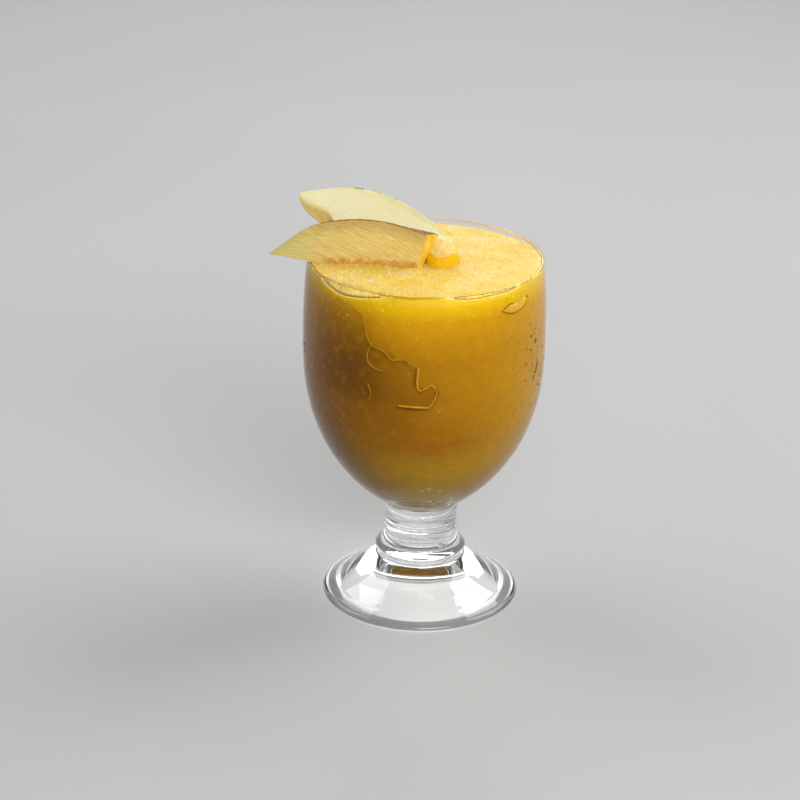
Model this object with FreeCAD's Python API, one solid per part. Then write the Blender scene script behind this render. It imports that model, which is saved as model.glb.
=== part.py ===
import FreeCAD, Part
import os
from math import sin, cos, pi, radians, sqrt
from FreeCAD import Vector as V

# A fruit granita in a short-stemmed goblet, with two slices of mango laid over the rim.
# Millimetres, +Z up. The glass is worked out about its own axis and then moved so that the
# origin is the bottom centre of the whole part's box: the slices overhang on the -X side.

# ---- driving dimensions --------------------------------------------------------------------
HEIGHT = 138.0            # table to rim
GLASS_X = 6.0             # glass axis, from the origin

# bowl, outside: an egg curve, widest a little above the middle
BOWL_R = 45.8             # largest radius
BOWL_Z = 104.8            # height of the largest radius
BOWL_DEPTH = 70.7         # from there down to the curve's own pole
BOWL_N, BOWL_M = 2.377, 1.499
RIM_IN = 1.70             # how far the outside draws in from BOWL_Z to the rim
RIM_Q = 2.39

# bowl, inside
CAVITY_R = 44.1
CAVITY_DEPTH = 65.5
CAVITY_M = 1.70
CAVITY_RIM_IN = 1.25
LIP_DROP = 0.65           # height of the rounded lip

# stem
STEM_R = 13.75
STEM_TOP_Z = 38.2
RING_UP_Z, RING_MID_Z, RING_LOW_Z = 36.2, 31.0, 26.8
RING_PROUD = 0.45
FLARE_Z, FLARE_R = 22.4, 15.2
COLLAR_R, COLLAR_Z0, COLLAR_Z1 = 17.5, 18.4, 20.4

# foot
FOOT_R = 38.0
FOOT_EDGE_Z = 0.7         # height of the edge's largest radius
BAND_R = 33.0             # where the flat outer band meets the dome
BAND_Z = 4.3
DOME_R, DOME_Z = 16.9, 16.7   # top of the dome, under the collar
DOME_MID_R, DOME_MID_Z = 24.0, 10.4   # the dome is hollowed a little between collar and band
REST_R0, REST_R1 = 30.0, 35.8  # flat ring that the glass stands on
HOLLOW = 11.0             # depth of the hollow under the foot

# granita
TOP_Z = 139.5             # crown of the surface
TOP_BACK_Z = 136.2        # level against the back wall
TOP_FRONT_Z = 138.0       # level against the front wall
LEVEL_R = 42.5
KNOB = (6.0, -9.0, 139.3)     # the scooped knob beside the slices
KNOB_SIZE = (7.0, 7.2, 8.5)

# front slice: a wedge of mango. Its face is a turned arc over a straight inner edge that
# rests on the rim and dips into the granita
S2_ON_RIM = (-42.7, -8.5, 138.3)  # where the inner edge crosses the rim
S2_R = 57.5               # radius of the skin along the slice
S2_TALL = 19.3            # inner edge to skin, at the fullest place
S2_FULL = 27.4            # the fullest place, along the slice from the rim
S2_END = 44.0             # the cut end, along the slice from the rim
S2_END_SLANT = 17.0       # and its slant
S2_YAW = -13.0            # the slice's run, turned about Z
S2_DIP = 5.6              # towards the middle of the glass
S2_LEAN = 12.0            # cut face, from the vertical
S2_WEDGE = 28.0           # angle between its two cut faces

# back slice: a leaf-shaped slice, cut flat in front and rounded behind. Sizes lie in its
# face, along and up, from the face's middle
S1_CENTRE = (-18.6, -0.3, 150.0)
S1_YAW = -6.0
S1_LEAN = 31.0
S1_TIP = (-30.2, 9.9)
S1_TOP = (-4.5, 13.2)    # on the skin's arc
S1_FAR = (28.6, -3.6)     # where the skin's arc goes into the knob
S1_BELLY = ((-27.9, 4.2), (-20.8, -0.6), (-8.0, -8.6), (8.0, -13.0), (22.0, -12.4), (29.2, -9.8))
S1_THICK = 9.0
S1_BACK = (38.0, 18.5)    # half length and half height of the rounded back

SPANS = 16                # points along each turned curve


# ---- turned profiles -----------------------------------------------------------------------
def egg(z, r_max, depth, m, rim_in):
    """Radius at height z of the bowl's curve."""
    if z <= BOWL_Z:
        t = min((BOWL_Z - z) / depth, 1.0)
        return r_max * (1.0 - t ** BOWL_N) ** (1.0 / m)
    u = (z - BOWL_Z) / (HEIGHT - BOWL_Z)
    return r_max - rim_in * u ** RIM_Q


def outside(z):
    return egg(z, BOWL_R, BOWL_DEPTH, BOWL_M, RIM_IN)


def inside(z):
    return egg(z, CAVITY_R, CAVITY_DEPTH, CAVITY_M, CAVITY_RIM_IN)


def pv(r, z):
    return V(r, 0, z)


def line(a, b):
    return Part.LineSegment(a, b).toShape()


def arc(a, m, b):
    return Part.Arc(a, m, b).toShape()


def curve(points):
    c = Part.BSplineCurve()
    c.interpolate(points)
    return c.toShape()


def curve_along(radius, z0, z1, count=SPANS, ease=1.0):
    """Points on a turned curve, closer together at its z0 end where ease is over 1."""
    return [pv(radius(z0 + (z1 - z0) * (i / count) ** ease), z0 + (z1 - z0) * (i / count) ** ease)
            for i in range(count + 1)]


def turned(edges):
    face = Part.Face(Part.Wire(edges))
    return face.revolve(V(0, 0, 0), V(0, 0, 1), 360)


def cavity_edges(z_top):
    """The bowl's inside, from its pole up to z_top."""
    pole = BOWL_Z - CAVITY_DEPTH
    start = pole + 0.35
    pts = [pv(0, pole)] + curve_along(inside, start, BOWL_Z, SPANS, 1.9)
    low = Part.BSplineCurve()
    low.interpolate(Points=pts, InitialTangent=V(1, 0, 0), FinalTangent=V(0, 0, 1))
    return [low.toShape(), curve(curve_along(inside, BOWL_Z, z_top, 8))]


def make_glass():
    # stem top is where the bowl's outside reaches the stem's radius
    lo, hi = BOWL_Z - BOWL_DEPTH, BOWL_Z
    for _ in range(60):
        mid = (lo + hi) / 2
        lo, hi = (mid, hi) if outside(mid) < STEM_R + 1.1 else (lo, mid)
    join_z = hi
    lip_z = HEIGHT - LIP_DROP
    ro, ri = outside(lip_z), inside(lip_z)

    e = []
    # hollow under the foot, and the ring it stands on
    e.append(arc(pv(0, HOLLOW), pv(REST_R0 * 0.55, HOLLOW * 0.72), pv(REST_R0, 0)))
    e.append(line(pv(REST_R0, 0), pv(REST_R1, 0)))
    # rolled edge and flat band
    e.append(arc(pv(REST_R1, 0), pv(REST_R1 + (FOOT_R - REST_R1) * 0.65, FOOT_EDGE_Z * 0.42), pv(FOOT_R, FOOT_EDGE_Z)))
    e.append(arc(pv(FOOT_R, FOOT_EDGE_Z), pv(FOOT_R - 0.75, FOOT_EDGE_Z + 1.35), pv(FOOT_R - 2.3, FOOT_EDGE_Z + 1.85)))
    e.append(line(pv(FOOT_R - 2.3, FOOT_EDGE_Z + 1.85), pv(BAND_R + 0.5, BAND_Z - 0.25)))
    e.append(arc(pv(BAND_R + 0.5, BAND_Z - 0.25), pv(BAND_R, BAND_Z), pv(BAND_R - 0.45, BAND_Z + 0.5)))
    # dome, up to the collar
    e.append(arc(pv(BAND_R - 0.45, BAND_Z + 0.5), pv(DOME_MID_R, DOME_MID_Z), pv(DOME_R, DOME_Z)))
    e.append(line(pv(DOME_R, DOME_Z), pv(COLLAR_R - 0.35, COLLAR_Z0)))
    e.append(arc(pv(COLLAR_R - 0.35, COLLAR_Z0), pv(COLLAR_R, (COLLAR_Z0 + COLLAR_Z1) / 2), pv(COLLAR_R - 0.5, COLLAR_Z1)))
    # flare, to the stem
    e.append(arc(pv(COLLAR_R - 0.5, COLLAR_Z1), pv(FLARE_R + 0.75, FLARE_Z - 0.85), pv(FLARE_R, FLARE_Z)))
    e.append(arc(pv(FLARE_R, FLARE_Z), pv(STEM_R + 0.62, (FLARE_Z + RING_LOW_Z) / 2 - 0.2), pv(STEM_R + 0.1, RING_LOW_Z - 0.8)))
    # three low rings on the stem
    z = RING_LOW_Z - 0.8
    r = STEM_R + 0.1
    for zc, proud, half in ((RING_LOW_Z, RING_PROUD, 0.8), (RING_MID_Z, RING_PROUD * 0.45, 0.7), (RING_UP_Z, RING_PROUD * 0.8, 0.7)):
        if zc - half > z + 1e-6:
            e.append(line(pv(r, z), pv(STEM_R, zc - half)))
            z, r = zc - half, STEM_R
        e.append(arc(pv(r, z), pv(STEM_R + proud, zc), pv(STEM_R, zc + half)))
        z, r = zc + half, STEM_R
    # fillet under the bowl
    e.append(arc(pv(r, z), pv(STEM_R + 0.25, (z + join_z) / 2), pv(outside(join_z), join_z)))
    e.append(curve(curve_along(outside, join_z, BOWL_Z, SPANS, 1.25)))
    e.append(curve(curve_along(outside, BOWL_Z, lip_z, 8)))
    # rounded lip
    e.append(arc(pv(ro, lip_z), pv((ro + ri) / 2, HEIGHT), pv(ri, lip_z)))
    # inside, down to the pole
    e += cavity_edges(lip_z)
    e.append(line(pv(0, BOWL_Z - CAVITY_DEPTH), pv(0, HOLLOW)))
    return turned(Part.__sortEdges__(e))


def make_fill():
    """The cavity filled up to a gently crowned surface that is a little lower at the back."""
    top = HEIGHT + 6
    lip_z = HEIGHT - LIP_DROP
    pole = BOWL_Z - CAVITY_DEPTH
    e = cavity_edges(lip_z)
    e.append(line(pv(inside(lip_z), lip_z), pv(inside(lip_z), top)))
    e.append(line(pv(inside(lip_z), top), pv(0, top)))
    e.append(line(pv(0, top), pv(0, pole)))
    body = turned(Part.__sortEdges__(e))
    sag = TOP_Z - (TOP_BACK_Z + TOP_FRONT_Z) / 2
    big = (LEVEL_R ** 2 + sag ** 2) / (2 * sag)
    slope = (TOP_FRONT_Z - TOP_BACK_Z) / (2 * LEVEL_R)
    cap = Part.makeSphere(big, V(0, -slope * big, TOP_Z - big))
    return body.common(cap)


def ellipsoid(centre, size):
    s = Part.makeSphere(1.0)
    m = FreeCAD.Matrix()
    m.scale(size[0], size[1], size[2])
    s = s.transformGeometry(m)
    s.translate(V(*centre))
    return s


# ---- slices --------------------------------------------------------------------------------
def place(shape, at, yaw, dip, lean):
    """Stands a piece built along +X, face towards -Y, in its place."""
    shape.rotate(V(0, 0, 0), V(1, 0, 0), -lean)
    shape.rotate(V(0, 0, 0), V(0, 1, 0), dip)
    shape.rotate(V(0, 0, 0), V(0, 0, 1), yaw)
    shape.translate(V(*at))
    return shape


def make_front_slice():
    """A wedge: the arc of its face is turned about its straight inner edge."""
    half = sqrt(S2_R ** 2 - (S2_R - S2_TALL) ** 2)
    a, b, m = V(S2_FULL - half, 0, 0), V(S2_FULL + half, 0, 0), V(S2_FULL, 0, S2_TALL)
    face = Part.Face(Part.Wire([Part.Arc(a, m, b).toShape(), line(b, a)]))
    wedge = face.revolve(V(0, 0, 0), V(1, 0, 0), -S2_WEDGE)
    beyond = Part.makeBox(80, 120, 120, V(0, -60, -60))
    beyond.rotate(V(0, 0, 0), V(0, 1, 0), S2_END_SLANT)
    beyond.translate(V(S2_END, 0, S2_TALL * 0.45))
    return place(wedge.cut(beyond), S2_ON_RIM, S2_YAW, S2_DIP, S2_LEAN)


def make_back_slice():
    """The face's outline carried back, and rounded off behind by a flattened ball."""
    tip, top, far = (V(p[0], 0, p[1]) for p in (S1_TIP, S1_TOP, S1_FAR))
    skin = Part.Arc(tip, top, far).toShape()
    belly = curve([tip] + [V(p[0], 0, p[1]) for p in S1_BELLY])
    face = Part.Face(Part.Wire([skin, line(far, V(S1_BELLY[-1][0], 0, S1_BELLY[-1][1])), belly]))
    body = face.extrude(V(0, S1_THICK + 2, 0))
    body = body.common(ellipsoid((0, 0, 0), (S1_BACK[0], S1_THICK, S1_BACK[1])))
    return place(body, S1_CENTRE, S1_YAW, 0, S1_LEAN)


glass = make_glass()
front = make_front_slice()
back = make_back_slice()
granita = make_fill().fuse(ellipsoid(KNOB, KNOB_SIZE))
print("slices share %.2f mm3" % back.common(front).Volume)
back = back.cut(front)
granita = granita.cut(front).cut(back).cut(glass)
back = back.cut(glass)
front = front.cut(glass)

parts = {"glass": glass, "granita": granita, "mango_slice_front": front, "mango_slice_back": back}
os.makedirs("parts", exist_ok=True)
for name, shape in parts.items():
    solid = max(shape.Solids, key=lambda s: s.Volume)
    solid = solid.copy()
    solid.translate(V(GLASS_X, 0, 0))
    solid.exportStep("parts/%s.step" % name)
    b = solid.optimalBoundingBox(False)
    print(name, "solids", len(shape.Solids), "valid", solid.isValid(), "volume %.1f" % solid.Volume,
          "box %.2f %.2f %.2f / %.2f %.2f %.2f" % (b.XMin, b.YMin, b.ZMin, b.XMax, b.YMax, b.ZMax))
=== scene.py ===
import math

import bpy
import numpy as np
from mathutils import Matrix, Vector


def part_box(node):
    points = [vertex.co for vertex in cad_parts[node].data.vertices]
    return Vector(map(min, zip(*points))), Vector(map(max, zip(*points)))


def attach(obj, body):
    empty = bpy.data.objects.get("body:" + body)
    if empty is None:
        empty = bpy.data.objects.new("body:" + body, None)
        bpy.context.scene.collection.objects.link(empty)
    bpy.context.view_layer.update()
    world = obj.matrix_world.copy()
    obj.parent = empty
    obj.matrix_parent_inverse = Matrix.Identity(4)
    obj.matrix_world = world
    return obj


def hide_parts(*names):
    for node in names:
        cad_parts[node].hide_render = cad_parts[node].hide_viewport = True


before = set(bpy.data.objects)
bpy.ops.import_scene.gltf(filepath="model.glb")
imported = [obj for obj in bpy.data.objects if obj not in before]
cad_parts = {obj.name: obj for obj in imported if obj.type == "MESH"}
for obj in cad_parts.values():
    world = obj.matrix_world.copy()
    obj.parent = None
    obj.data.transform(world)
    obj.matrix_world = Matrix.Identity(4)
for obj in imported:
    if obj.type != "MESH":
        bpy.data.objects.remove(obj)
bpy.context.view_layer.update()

MM = 0.001
_lo, _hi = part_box("glass")
AXIS_X = (_lo.x + _hi.x) / 2 / MM      # the glass axis, in mm from the origin
AXIS_Y = (_lo.y + _hi.y) / 2 / MM
HEIGHT = _hi.z / MM

# ---- the glass's sizes, as in the CAD source (mm, about the glass axis) ----------------------
BOWL_R, BOWL_Z, BOWL_DEPTH, BOWL_N, BOWL_M, RIM_IN, RIM_Q = 45.8, 104.8, 70.7, 2.377, 1.499, 1.70, 2.39
CAVITY_R, CAVITY_DEPTH, CAVITY_M, CAVITY_RIM_IN, LIP_DROP = 44.1, 65.5, 1.70, 1.25, 0.65
STEM_R, RING_UP_Z, RING_MID_Z, RING_LOW_Z, RING_PROUD = 13.75, 36.2, 31.0, 26.8, 0.45
FLARE_Z, FLARE_R, COLLAR_R, COLLAR_Z0, COLLAR_Z1 = 22.4, 15.2, 17.5, 18.4, 20.4
FOOT_R, FOOT_EDGE_Z, BAND_R, BAND_Z = 38.0, 0.7, 33.0, 4.3
DOME_R, DOME_Z, DOME_MID_R, DOME_MID_Z = 16.9, 16.7, 24.0, 10.4
REST_R0, REST_R1, HOLLOW = 30.0, 35.8, 11.0
TOP_Z, TOP_BACK_Z, TOP_FRONT_Z, LEVEL_R = 139.5, 136.2, 138.0, 42.5
KNOB, KNOB_SIZE = (6.0, -9.0, 139.3), (7.0, 7.2, 8.5)


# ---- noise, over arrays of points --------------------------------------------------------------
def _hash(ix, iy, iz, seed):
    h = (ix.astype(np.uint32) * np.uint32(374761393) + iy.astype(np.uint32) * np.uint32(668265263)
         + iz.astype(np.uint32) * np.uint32(2246822519) + np.uint32((seed * 3266489917 + 12345) & 0xFFFFFFFF))
    h = (h ^ (h >> np.uint32(13))) * np.uint32(1274126177)
    h = (h ^ (h >> np.uint32(16))) * np.uint32(2654435761)
    return h ^ (h >> np.uint32(15))


def _unit(h):
    return (h & np.uint32(0xFFFFFF)).astype(float) / 16777215.0


def noise3(p, size, seed=0):
    """Smooth noise from -1 to 1 with cells of that size."""
    q = np.asarray(p, float) / size + 1000.0
    i = np.floor(q).astype(np.int64)
    f = q - i
    u = f * f * f * (f * (f * 6 - 15) + 10)
    total = 0.0
    for dx in (0, 1):
        for dy in (0, 1):
            for dz in (0, 1):
                h = _hash(i[:, 0] + dx, i[:, 1] + dy, i[:, 2] + dz, seed)
                a = _unit(h) * 2 * np.pi
                c = _unit(_hash(i[:, 0] + dx, i[:, 1] + dy, i[:, 2] + dz, seed + 77)) * 2 - 1
                s = np.sqrt(1 - c * c)
                g = (f[:, 0] - dx) * np.cos(a) * s + (f[:, 1] - dy) * np.sin(a) * s + (f[:, 2] - dz) * c
                w = (u[:, 0] if dx else 1 - u[:, 0]) * (u[:, 1] if dy else 1 - u[:, 1]) * (u[:, 2] if dz else 1 - u[:, 2])
                total = total + w * g
    return total * 1.6


def fbm(p, size, octaves=3, seed=0):
    v, a, s = 0.0, 1.0, size
    for k in range(octaves):
        v = v + a * noise3(p, s, seed + k * 13)
        a *= 0.5
        s *= 0.5
    return v / 1.6


def cells(p, size, seed=0):
    """Distance to the nearest and the second nearest of scattered points, and the nearest one's random value."""
    q = np.asarray(p, float) / size + 1000.0
    i = np.floor(q).astype(np.int64)
    near = np.full(len(q), 9.0)
    second = np.full(len(q), 9.0)
    tone = np.zeros(len(q))
    for dx in (-1, 0, 1):
        for dy in (-1, 0, 1):
            for dz in (-1, 0, 1):
                jx, jy, jz = i[:, 0] + dx, i[:, 1] + dy, i[:, 2] + dz
                ax = jx + _unit(_hash(jx, jy, jz, seed))
                ay = jy + _unit(_hash(jx, jy, jz, seed + 1))
                az = jz + _unit(_hash(jx, jy, jz, seed + 2))
                d = np.sqrt((q[:, 0] - ax) ** 2 + (q[:, 1] - ay) ** 2 + (q[:, 2] - az) ** 2)
                t = _unit(_hash(jx, jy, jz, seed + 3))
                closer = d < near
                second = np.where(closer, near, np.minimum(second, d))
                tone = np.where(closer, t, tone)
                near = np.where(closer, d, near)
    return near, second, tone


def smooth(a, b, x):
    t = np.clip((np.asarray(x, float) - a) / (b - a), 0, 1)
    return t * t * (3 - 2 * t)


# ---- meshes --------------------------------------------------------------------------------------
def build(name, verts, faces, materials, body="root", replaces=(), index=None, shade=True, attrs=None):
    """A mesh piece from points in mm about the glass axis."""
    v = np.asarray(verts, float) + np.array([AXIS_X, AXIS_Y, 0.0])
    mesh = bpy.data.meshes.new(name)
    mesh.from_pydata((v * MM).tolist(), [], [tuple(int(i) for i in f) for f in faces])
    for m in materials:
        mesh.materials.append(m)
    if index is not None:
        mesh.polygons.foreach_set("material_index", np.asarray(index, np.int32))
    mesh.polygons.foreach_set("use_smooth", np.full(len(mesh.polygons), shade))
    for key, values in (attrs or {}).items():
        a = mesh.attributes.new(key, "FLOAT", "POINT")
        a.data.foreach_set("value", np.asarray(values, np.float32))
    mesh.update()
    obj = bpy.data.objects.new(name, mesh)
    bpy.context.scene.collection.objects.link(obj)
    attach(obj, body)
    if replaces:
        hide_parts(*replaces)
    return obj


def outward(verts, faces):
    """Faces turned so that the closed mesh's volume is positive."""
    v = np.asarray(verts, float)
    tri = []
    for f in faces:
        for k in range(1, len(f) - 1):
            tri.append((f[0], f[k], f[k + 1]))
    t = np.array(tri)
    total = np.einsum("ij,ij->i", v[t[:, 0]], np.cross(v[t[:, 1]], v[t[:, 2]])).sum()
    return [tuple(reversed(f)) for f in faces] if total < 0 else faces


def arc3(a, m, b, n):
    """Points on the circle through a, m and b, from a to b."""
    ax, ay, bx, by, cx, cy = *a, *m, *b
    d = 2 * (ax * (by - cy) + bx * (cy - ay) + cx * (ay - by))
    ux = ((ax ** 2 + ay ** 2) * (by - cy) + (bx ** 2 + by ** 2) * (cy - ay) + (cx ** 2 + cy ** 2) * (ay - by)) / d
    uy = ((ax ** 2 + ay ** 2) * (cx - bx) + (bx ** 2 + by ** 2) * (ax - cx) + (cx ** 2 + cy ** 2) * (bx - ax)) / d
    r = math.hypot(ax - ux, ay - uy)
    t0, tm, t1 = (math.atan2(p[1] - uy, p[0] - ux) for p in (a, m, b))
    full = (t1 - t0) % (2 * math.pi)
    mid = (tm - t0) % (2 * math.pi)
    if mid > full:
        full -= 2 * math.pi
    return [(ux + r * math.cos(t0 + full * i / n), uy + r * math.sin(t0 + full * i / n)) for i in range(n + 1)]


def egg(z, r_max, depth, m, rim_in):
    z = np.asarray(z, float)
    t = np.clip((BOWL_Z - z) / depth, 0.0, 1.0)
    low = r_max * (1.0 - t ** BOWL_N) ** (1.0 / m)
    u = np.clip((z - BOWL_Z) / (HEIGHT - BOWL_Z), 0, None)
    return np.where(z <= BOWL_Z, low, r_max - rim_in * u ** RIM_Q)


def outside(z):
    return egg(z, BOWL_R, BOWL_DEPTH, BOWL_M, RIM_IN)


def inside(z):
    return egg(z, CAVITY_R, CAVITY_DEPTH, CAVITY_M, CAVITY_RIM_IN)


POLE = BOWL_Z - CAVITY_DEPTH
LIP_Z = HEIGHT - LIP_DROP


def glass_profile():
    pts = [(0.0, HOLLOW)]

    def go(more):
        pts.extend(more[1:] if math.hypot(pts[-1][0] - more[0][0], pts[-1][1] - more[0][1]) < 1e-6 else more)

    def straight(a, b, n):
        return [(a[0] + (b[0] - a[0]) * i / n, a[1] + (b[1] - a[1]) * i / n) for i in range(n + 1)]

    # the pontil side: a shallow hollow with a soft step where the ring it stands on begins
    go(arc3((0, HOLLOW), (REST_R0 * 0.55, HOLLOW * 0.72), (REST_R0, 0.0), 22))
    go(straight((REST_R0, 0.0), (REST_R1, 0.0), 4))
    go(arc3((REST_R1, 0), (REST_R1 + (FOOT_R - REST_R1) * 0.65, FOOT_EDGE_Z * 0.42), (FOOT_R, FOOT_EDGE_Z), 8))
    go(arc3((FOOT_R, FOOT_EDGE_Z), (FOOT_R - 0.75, FOOT_EDGE_Z + 1.35), (FOOT_R - 2.3, FOOT_EDGE_Z + 1.85), 8))
    go(straight((FOOT_R - 2.3, FOOT_EDGE_Z + 1.85), (BAND_R + 0.5, BAND_Z - 0.25), 4))
    go(arc3((BAND_R + 0.5, BAND_Z - 0.25), (BAND_R, BAND_Z), (BAND_R - 0.45, BAND_Z + 0.5), 6))
    go(arc3((BAND_R - 0.45, BAND_Z + 0.5), (DOME_MID_R, DOME_MID_Z), (DOME_R, DOME_Z), 26))
    go(arc3((DOME_R, DOME_Z), (DOME_R - 0.05, (DOME_Z + COLLAR_Z0) / 2 - 0.1), (COLLAR_R - 0.35, COLLAR_Z0), 6))
    go(arc3((COLLAR_R - 0.35, COLLAR_Z0), (COLLAR_R, (COLLAR_Z0 + COLLAR_Z1) / 2), (COLLAR_R - 0.5, COLLAR_Z1), 8))
    go(arc3((COLLAR_R - 0.5, COLLAR_Z1), (FLARE_R + 0.75, FLARE_Z - 0.85), (FLARE_R, FLARE_Z), 8))
    go(arc3((FLARE_R, FLARE_Z), (STEM_R + 0.62, (FLARE_Z + RING_LOW_Z) / 2 - 0.2), (STEM_R + 0.1, RING_LOW_Z - 0.8), 10))
    z, r = RING_LOW_Z - 0.8, STEM_R + 0.1
    for zc, proud, half in ((RING_LOW_Z, RING_PROUD * 1.45, 0.8), (RING_MID_Z, RING_PROUD * 0.38, 0.7), (RING_UP_Z, RING_PROUD * 0.9, 0.7)):
        if zc - half > z + 1e-6:
            go(straight((r, z), (STEM_R, zc - half), 6))
            z, r = zc - half, STEM_R
        go(arc3((r, z), (STEM_R + proud, zc), (STEM_R, zc + half), 10))
        z, r = zc + half, STEM_R
    lo, hi = BOWL_Z - BOWL_DEPTH, BOWL_Z
    for _ in range(60):
        mid = (lo + hi) / 2
        lo, hi = (mid, hi) if outside(mid) < STEM_R + 1.1 else (lo, mid)
    join = hi
    go(arc3((r, z), (STEM_R + 0.25, (z + join) / 2), (float(outside(join)), join), 6))
    for i in range(1, 61):
        zz = join + (BOWL_Z - join) * (i / 60) ** 1.25
        pts.append((float(outside(zz)), zz))
    for i in range(1, 25):
        zz = BOWL_Z + (LIP_Z - BOWL_Z) * i / 24
        pts.append((float(outside(zz)), zz))
    ro, ri = float(outside(LIP_Z)), float(inside(LIP_Z))
    go(arc3((ro, LIP_Z), ((ro + ri) / 2, HEIGHT), (ri, LIP_Z), 14))
    for i in range(1, 25):
        zz = LIP_Z - (LIP_Z - BOWL_Z) * i / 24
        pts.append((float(inside(zz)), zz))
    for i in range(1, 61):
        zz = BOWL_Z - CAVITY_DEPTH * (1 - (1 - i / 60) ** 1.9)
        pts.append((float(inside(zz)) if i < 60 else 0.0, zz))
    return pts


def lathe(profile, n, warp=None):
    """A turned closed mesh. The profile starts and ends on the axis."""
    ang = np.arange(n) * 2 * np.pi / n
    verts, rings = [], []
    for r, z in profile:
        if r < 1e-6:
            rings.append([len(verts)])
            verts.append((0.0, 0.0, z))
            continue
        rr = np.full(n, r)
        if warp is not None:
            rr = rr + warp(ang, np.full(n, z), r)
        rings.append(list(range(len(verts), len(verts) + n)))
        verts.extend(zip(rr * np.cos(ang), rr * np.sin(ang), np.full(n, z)))
    faces = []
    for a, b in zip(rings, rings[1:]):
        if len(a) == 1:
            faces += [(a[0], b[i], b[(i + 1) % n]) for i in range(n)]
        elif len(b) == 1:
            faces += [(b[0], a[(i + 1) % n], a[i]) for i in range(n)]
        else:
            faces += [(a[i], b[i], b[(i + 1) % n], a[(i + 1) % n]) for i in range(n)]
    return verts, outward(verts, faces)


def turn(az_deg):
    """Angle about the axis of a place az_deg to the right of the front, seen from the front."""
    return math.radians(az_deg - 90.0)


SEAM = (-32.0, 148.0)          # the two mould seams, degrees from the front


def stem_warp(ang, z, r):
    """Low mould seams on the stem, small marks where they cross the rings, and the foot's faint waves."""
    d = np.zeros_like(ang)
    if r < 10 or z[0] > 45:
        return d
    zz = float(z[0])
    for s in SEAM:
        off = (ang - turn(s) + np.pi) % (2 * np.pi) - np.pi
        w = off * r
        if COLLAR_Z0 - 1 < zz < 40:
            d += 0.10 * np.exp(-(w / 0.32) ** 2)
            for zc in (RING_LOW_Z, RING_UP_Z):
                d += 0.46 * np.exp(-(w / 0.60) ** 2 - ((zz - zc) / 0.95) ** 2)
    for s, zc, high, wide in ((33.0, RING_LOW_Z - 2.6, 0.34, 0.60), (1.0, RING_MID_Z, 0.28, 0.60), (-21.0, RING_UP_Z + 0.7, 0.26, 0.45), (-13.0, RING_UP_Z, 0.50, 0.65),
                              (-9.6, RING_UP_Z - 0.9, -0.28, 0.45), (-6.0, RING_UP_Z + 0.2, 0.36, 0.45), (-2.4, RING_UP_Z - 0.4, 0.30, 0.40), (1.4, RING_UP_Z + 0.2, 0.32, 0.40),
                              (5.2, RING_UP_Z - 0.1, 0.26, 0.40)):
        off = (ang - turn(s) + np.pi) % (2 * np.pi) - np.pi
        d += high * np.exp(-(off * r / wide) ** 2 - ((zz - zc) / (wide + 0.1)) ** 2)
    if zz < COLLAR_Z0 and r > 17:
        d += 0.05 * np.sin(3 * ang + 0.7) + 0.03 * np.sin(7 * ang)
    return d


# ---- materials -----------------------------------------------------------------------------------
def srgb(r, g, b):
    def f(c):
        c /= 255.0
        return c / 12.92 if c <= 0.04045 else ((c + 0.055) / 1.055) ** 2.4
    return (f(r), f(g), f(b), 1.0)


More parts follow.
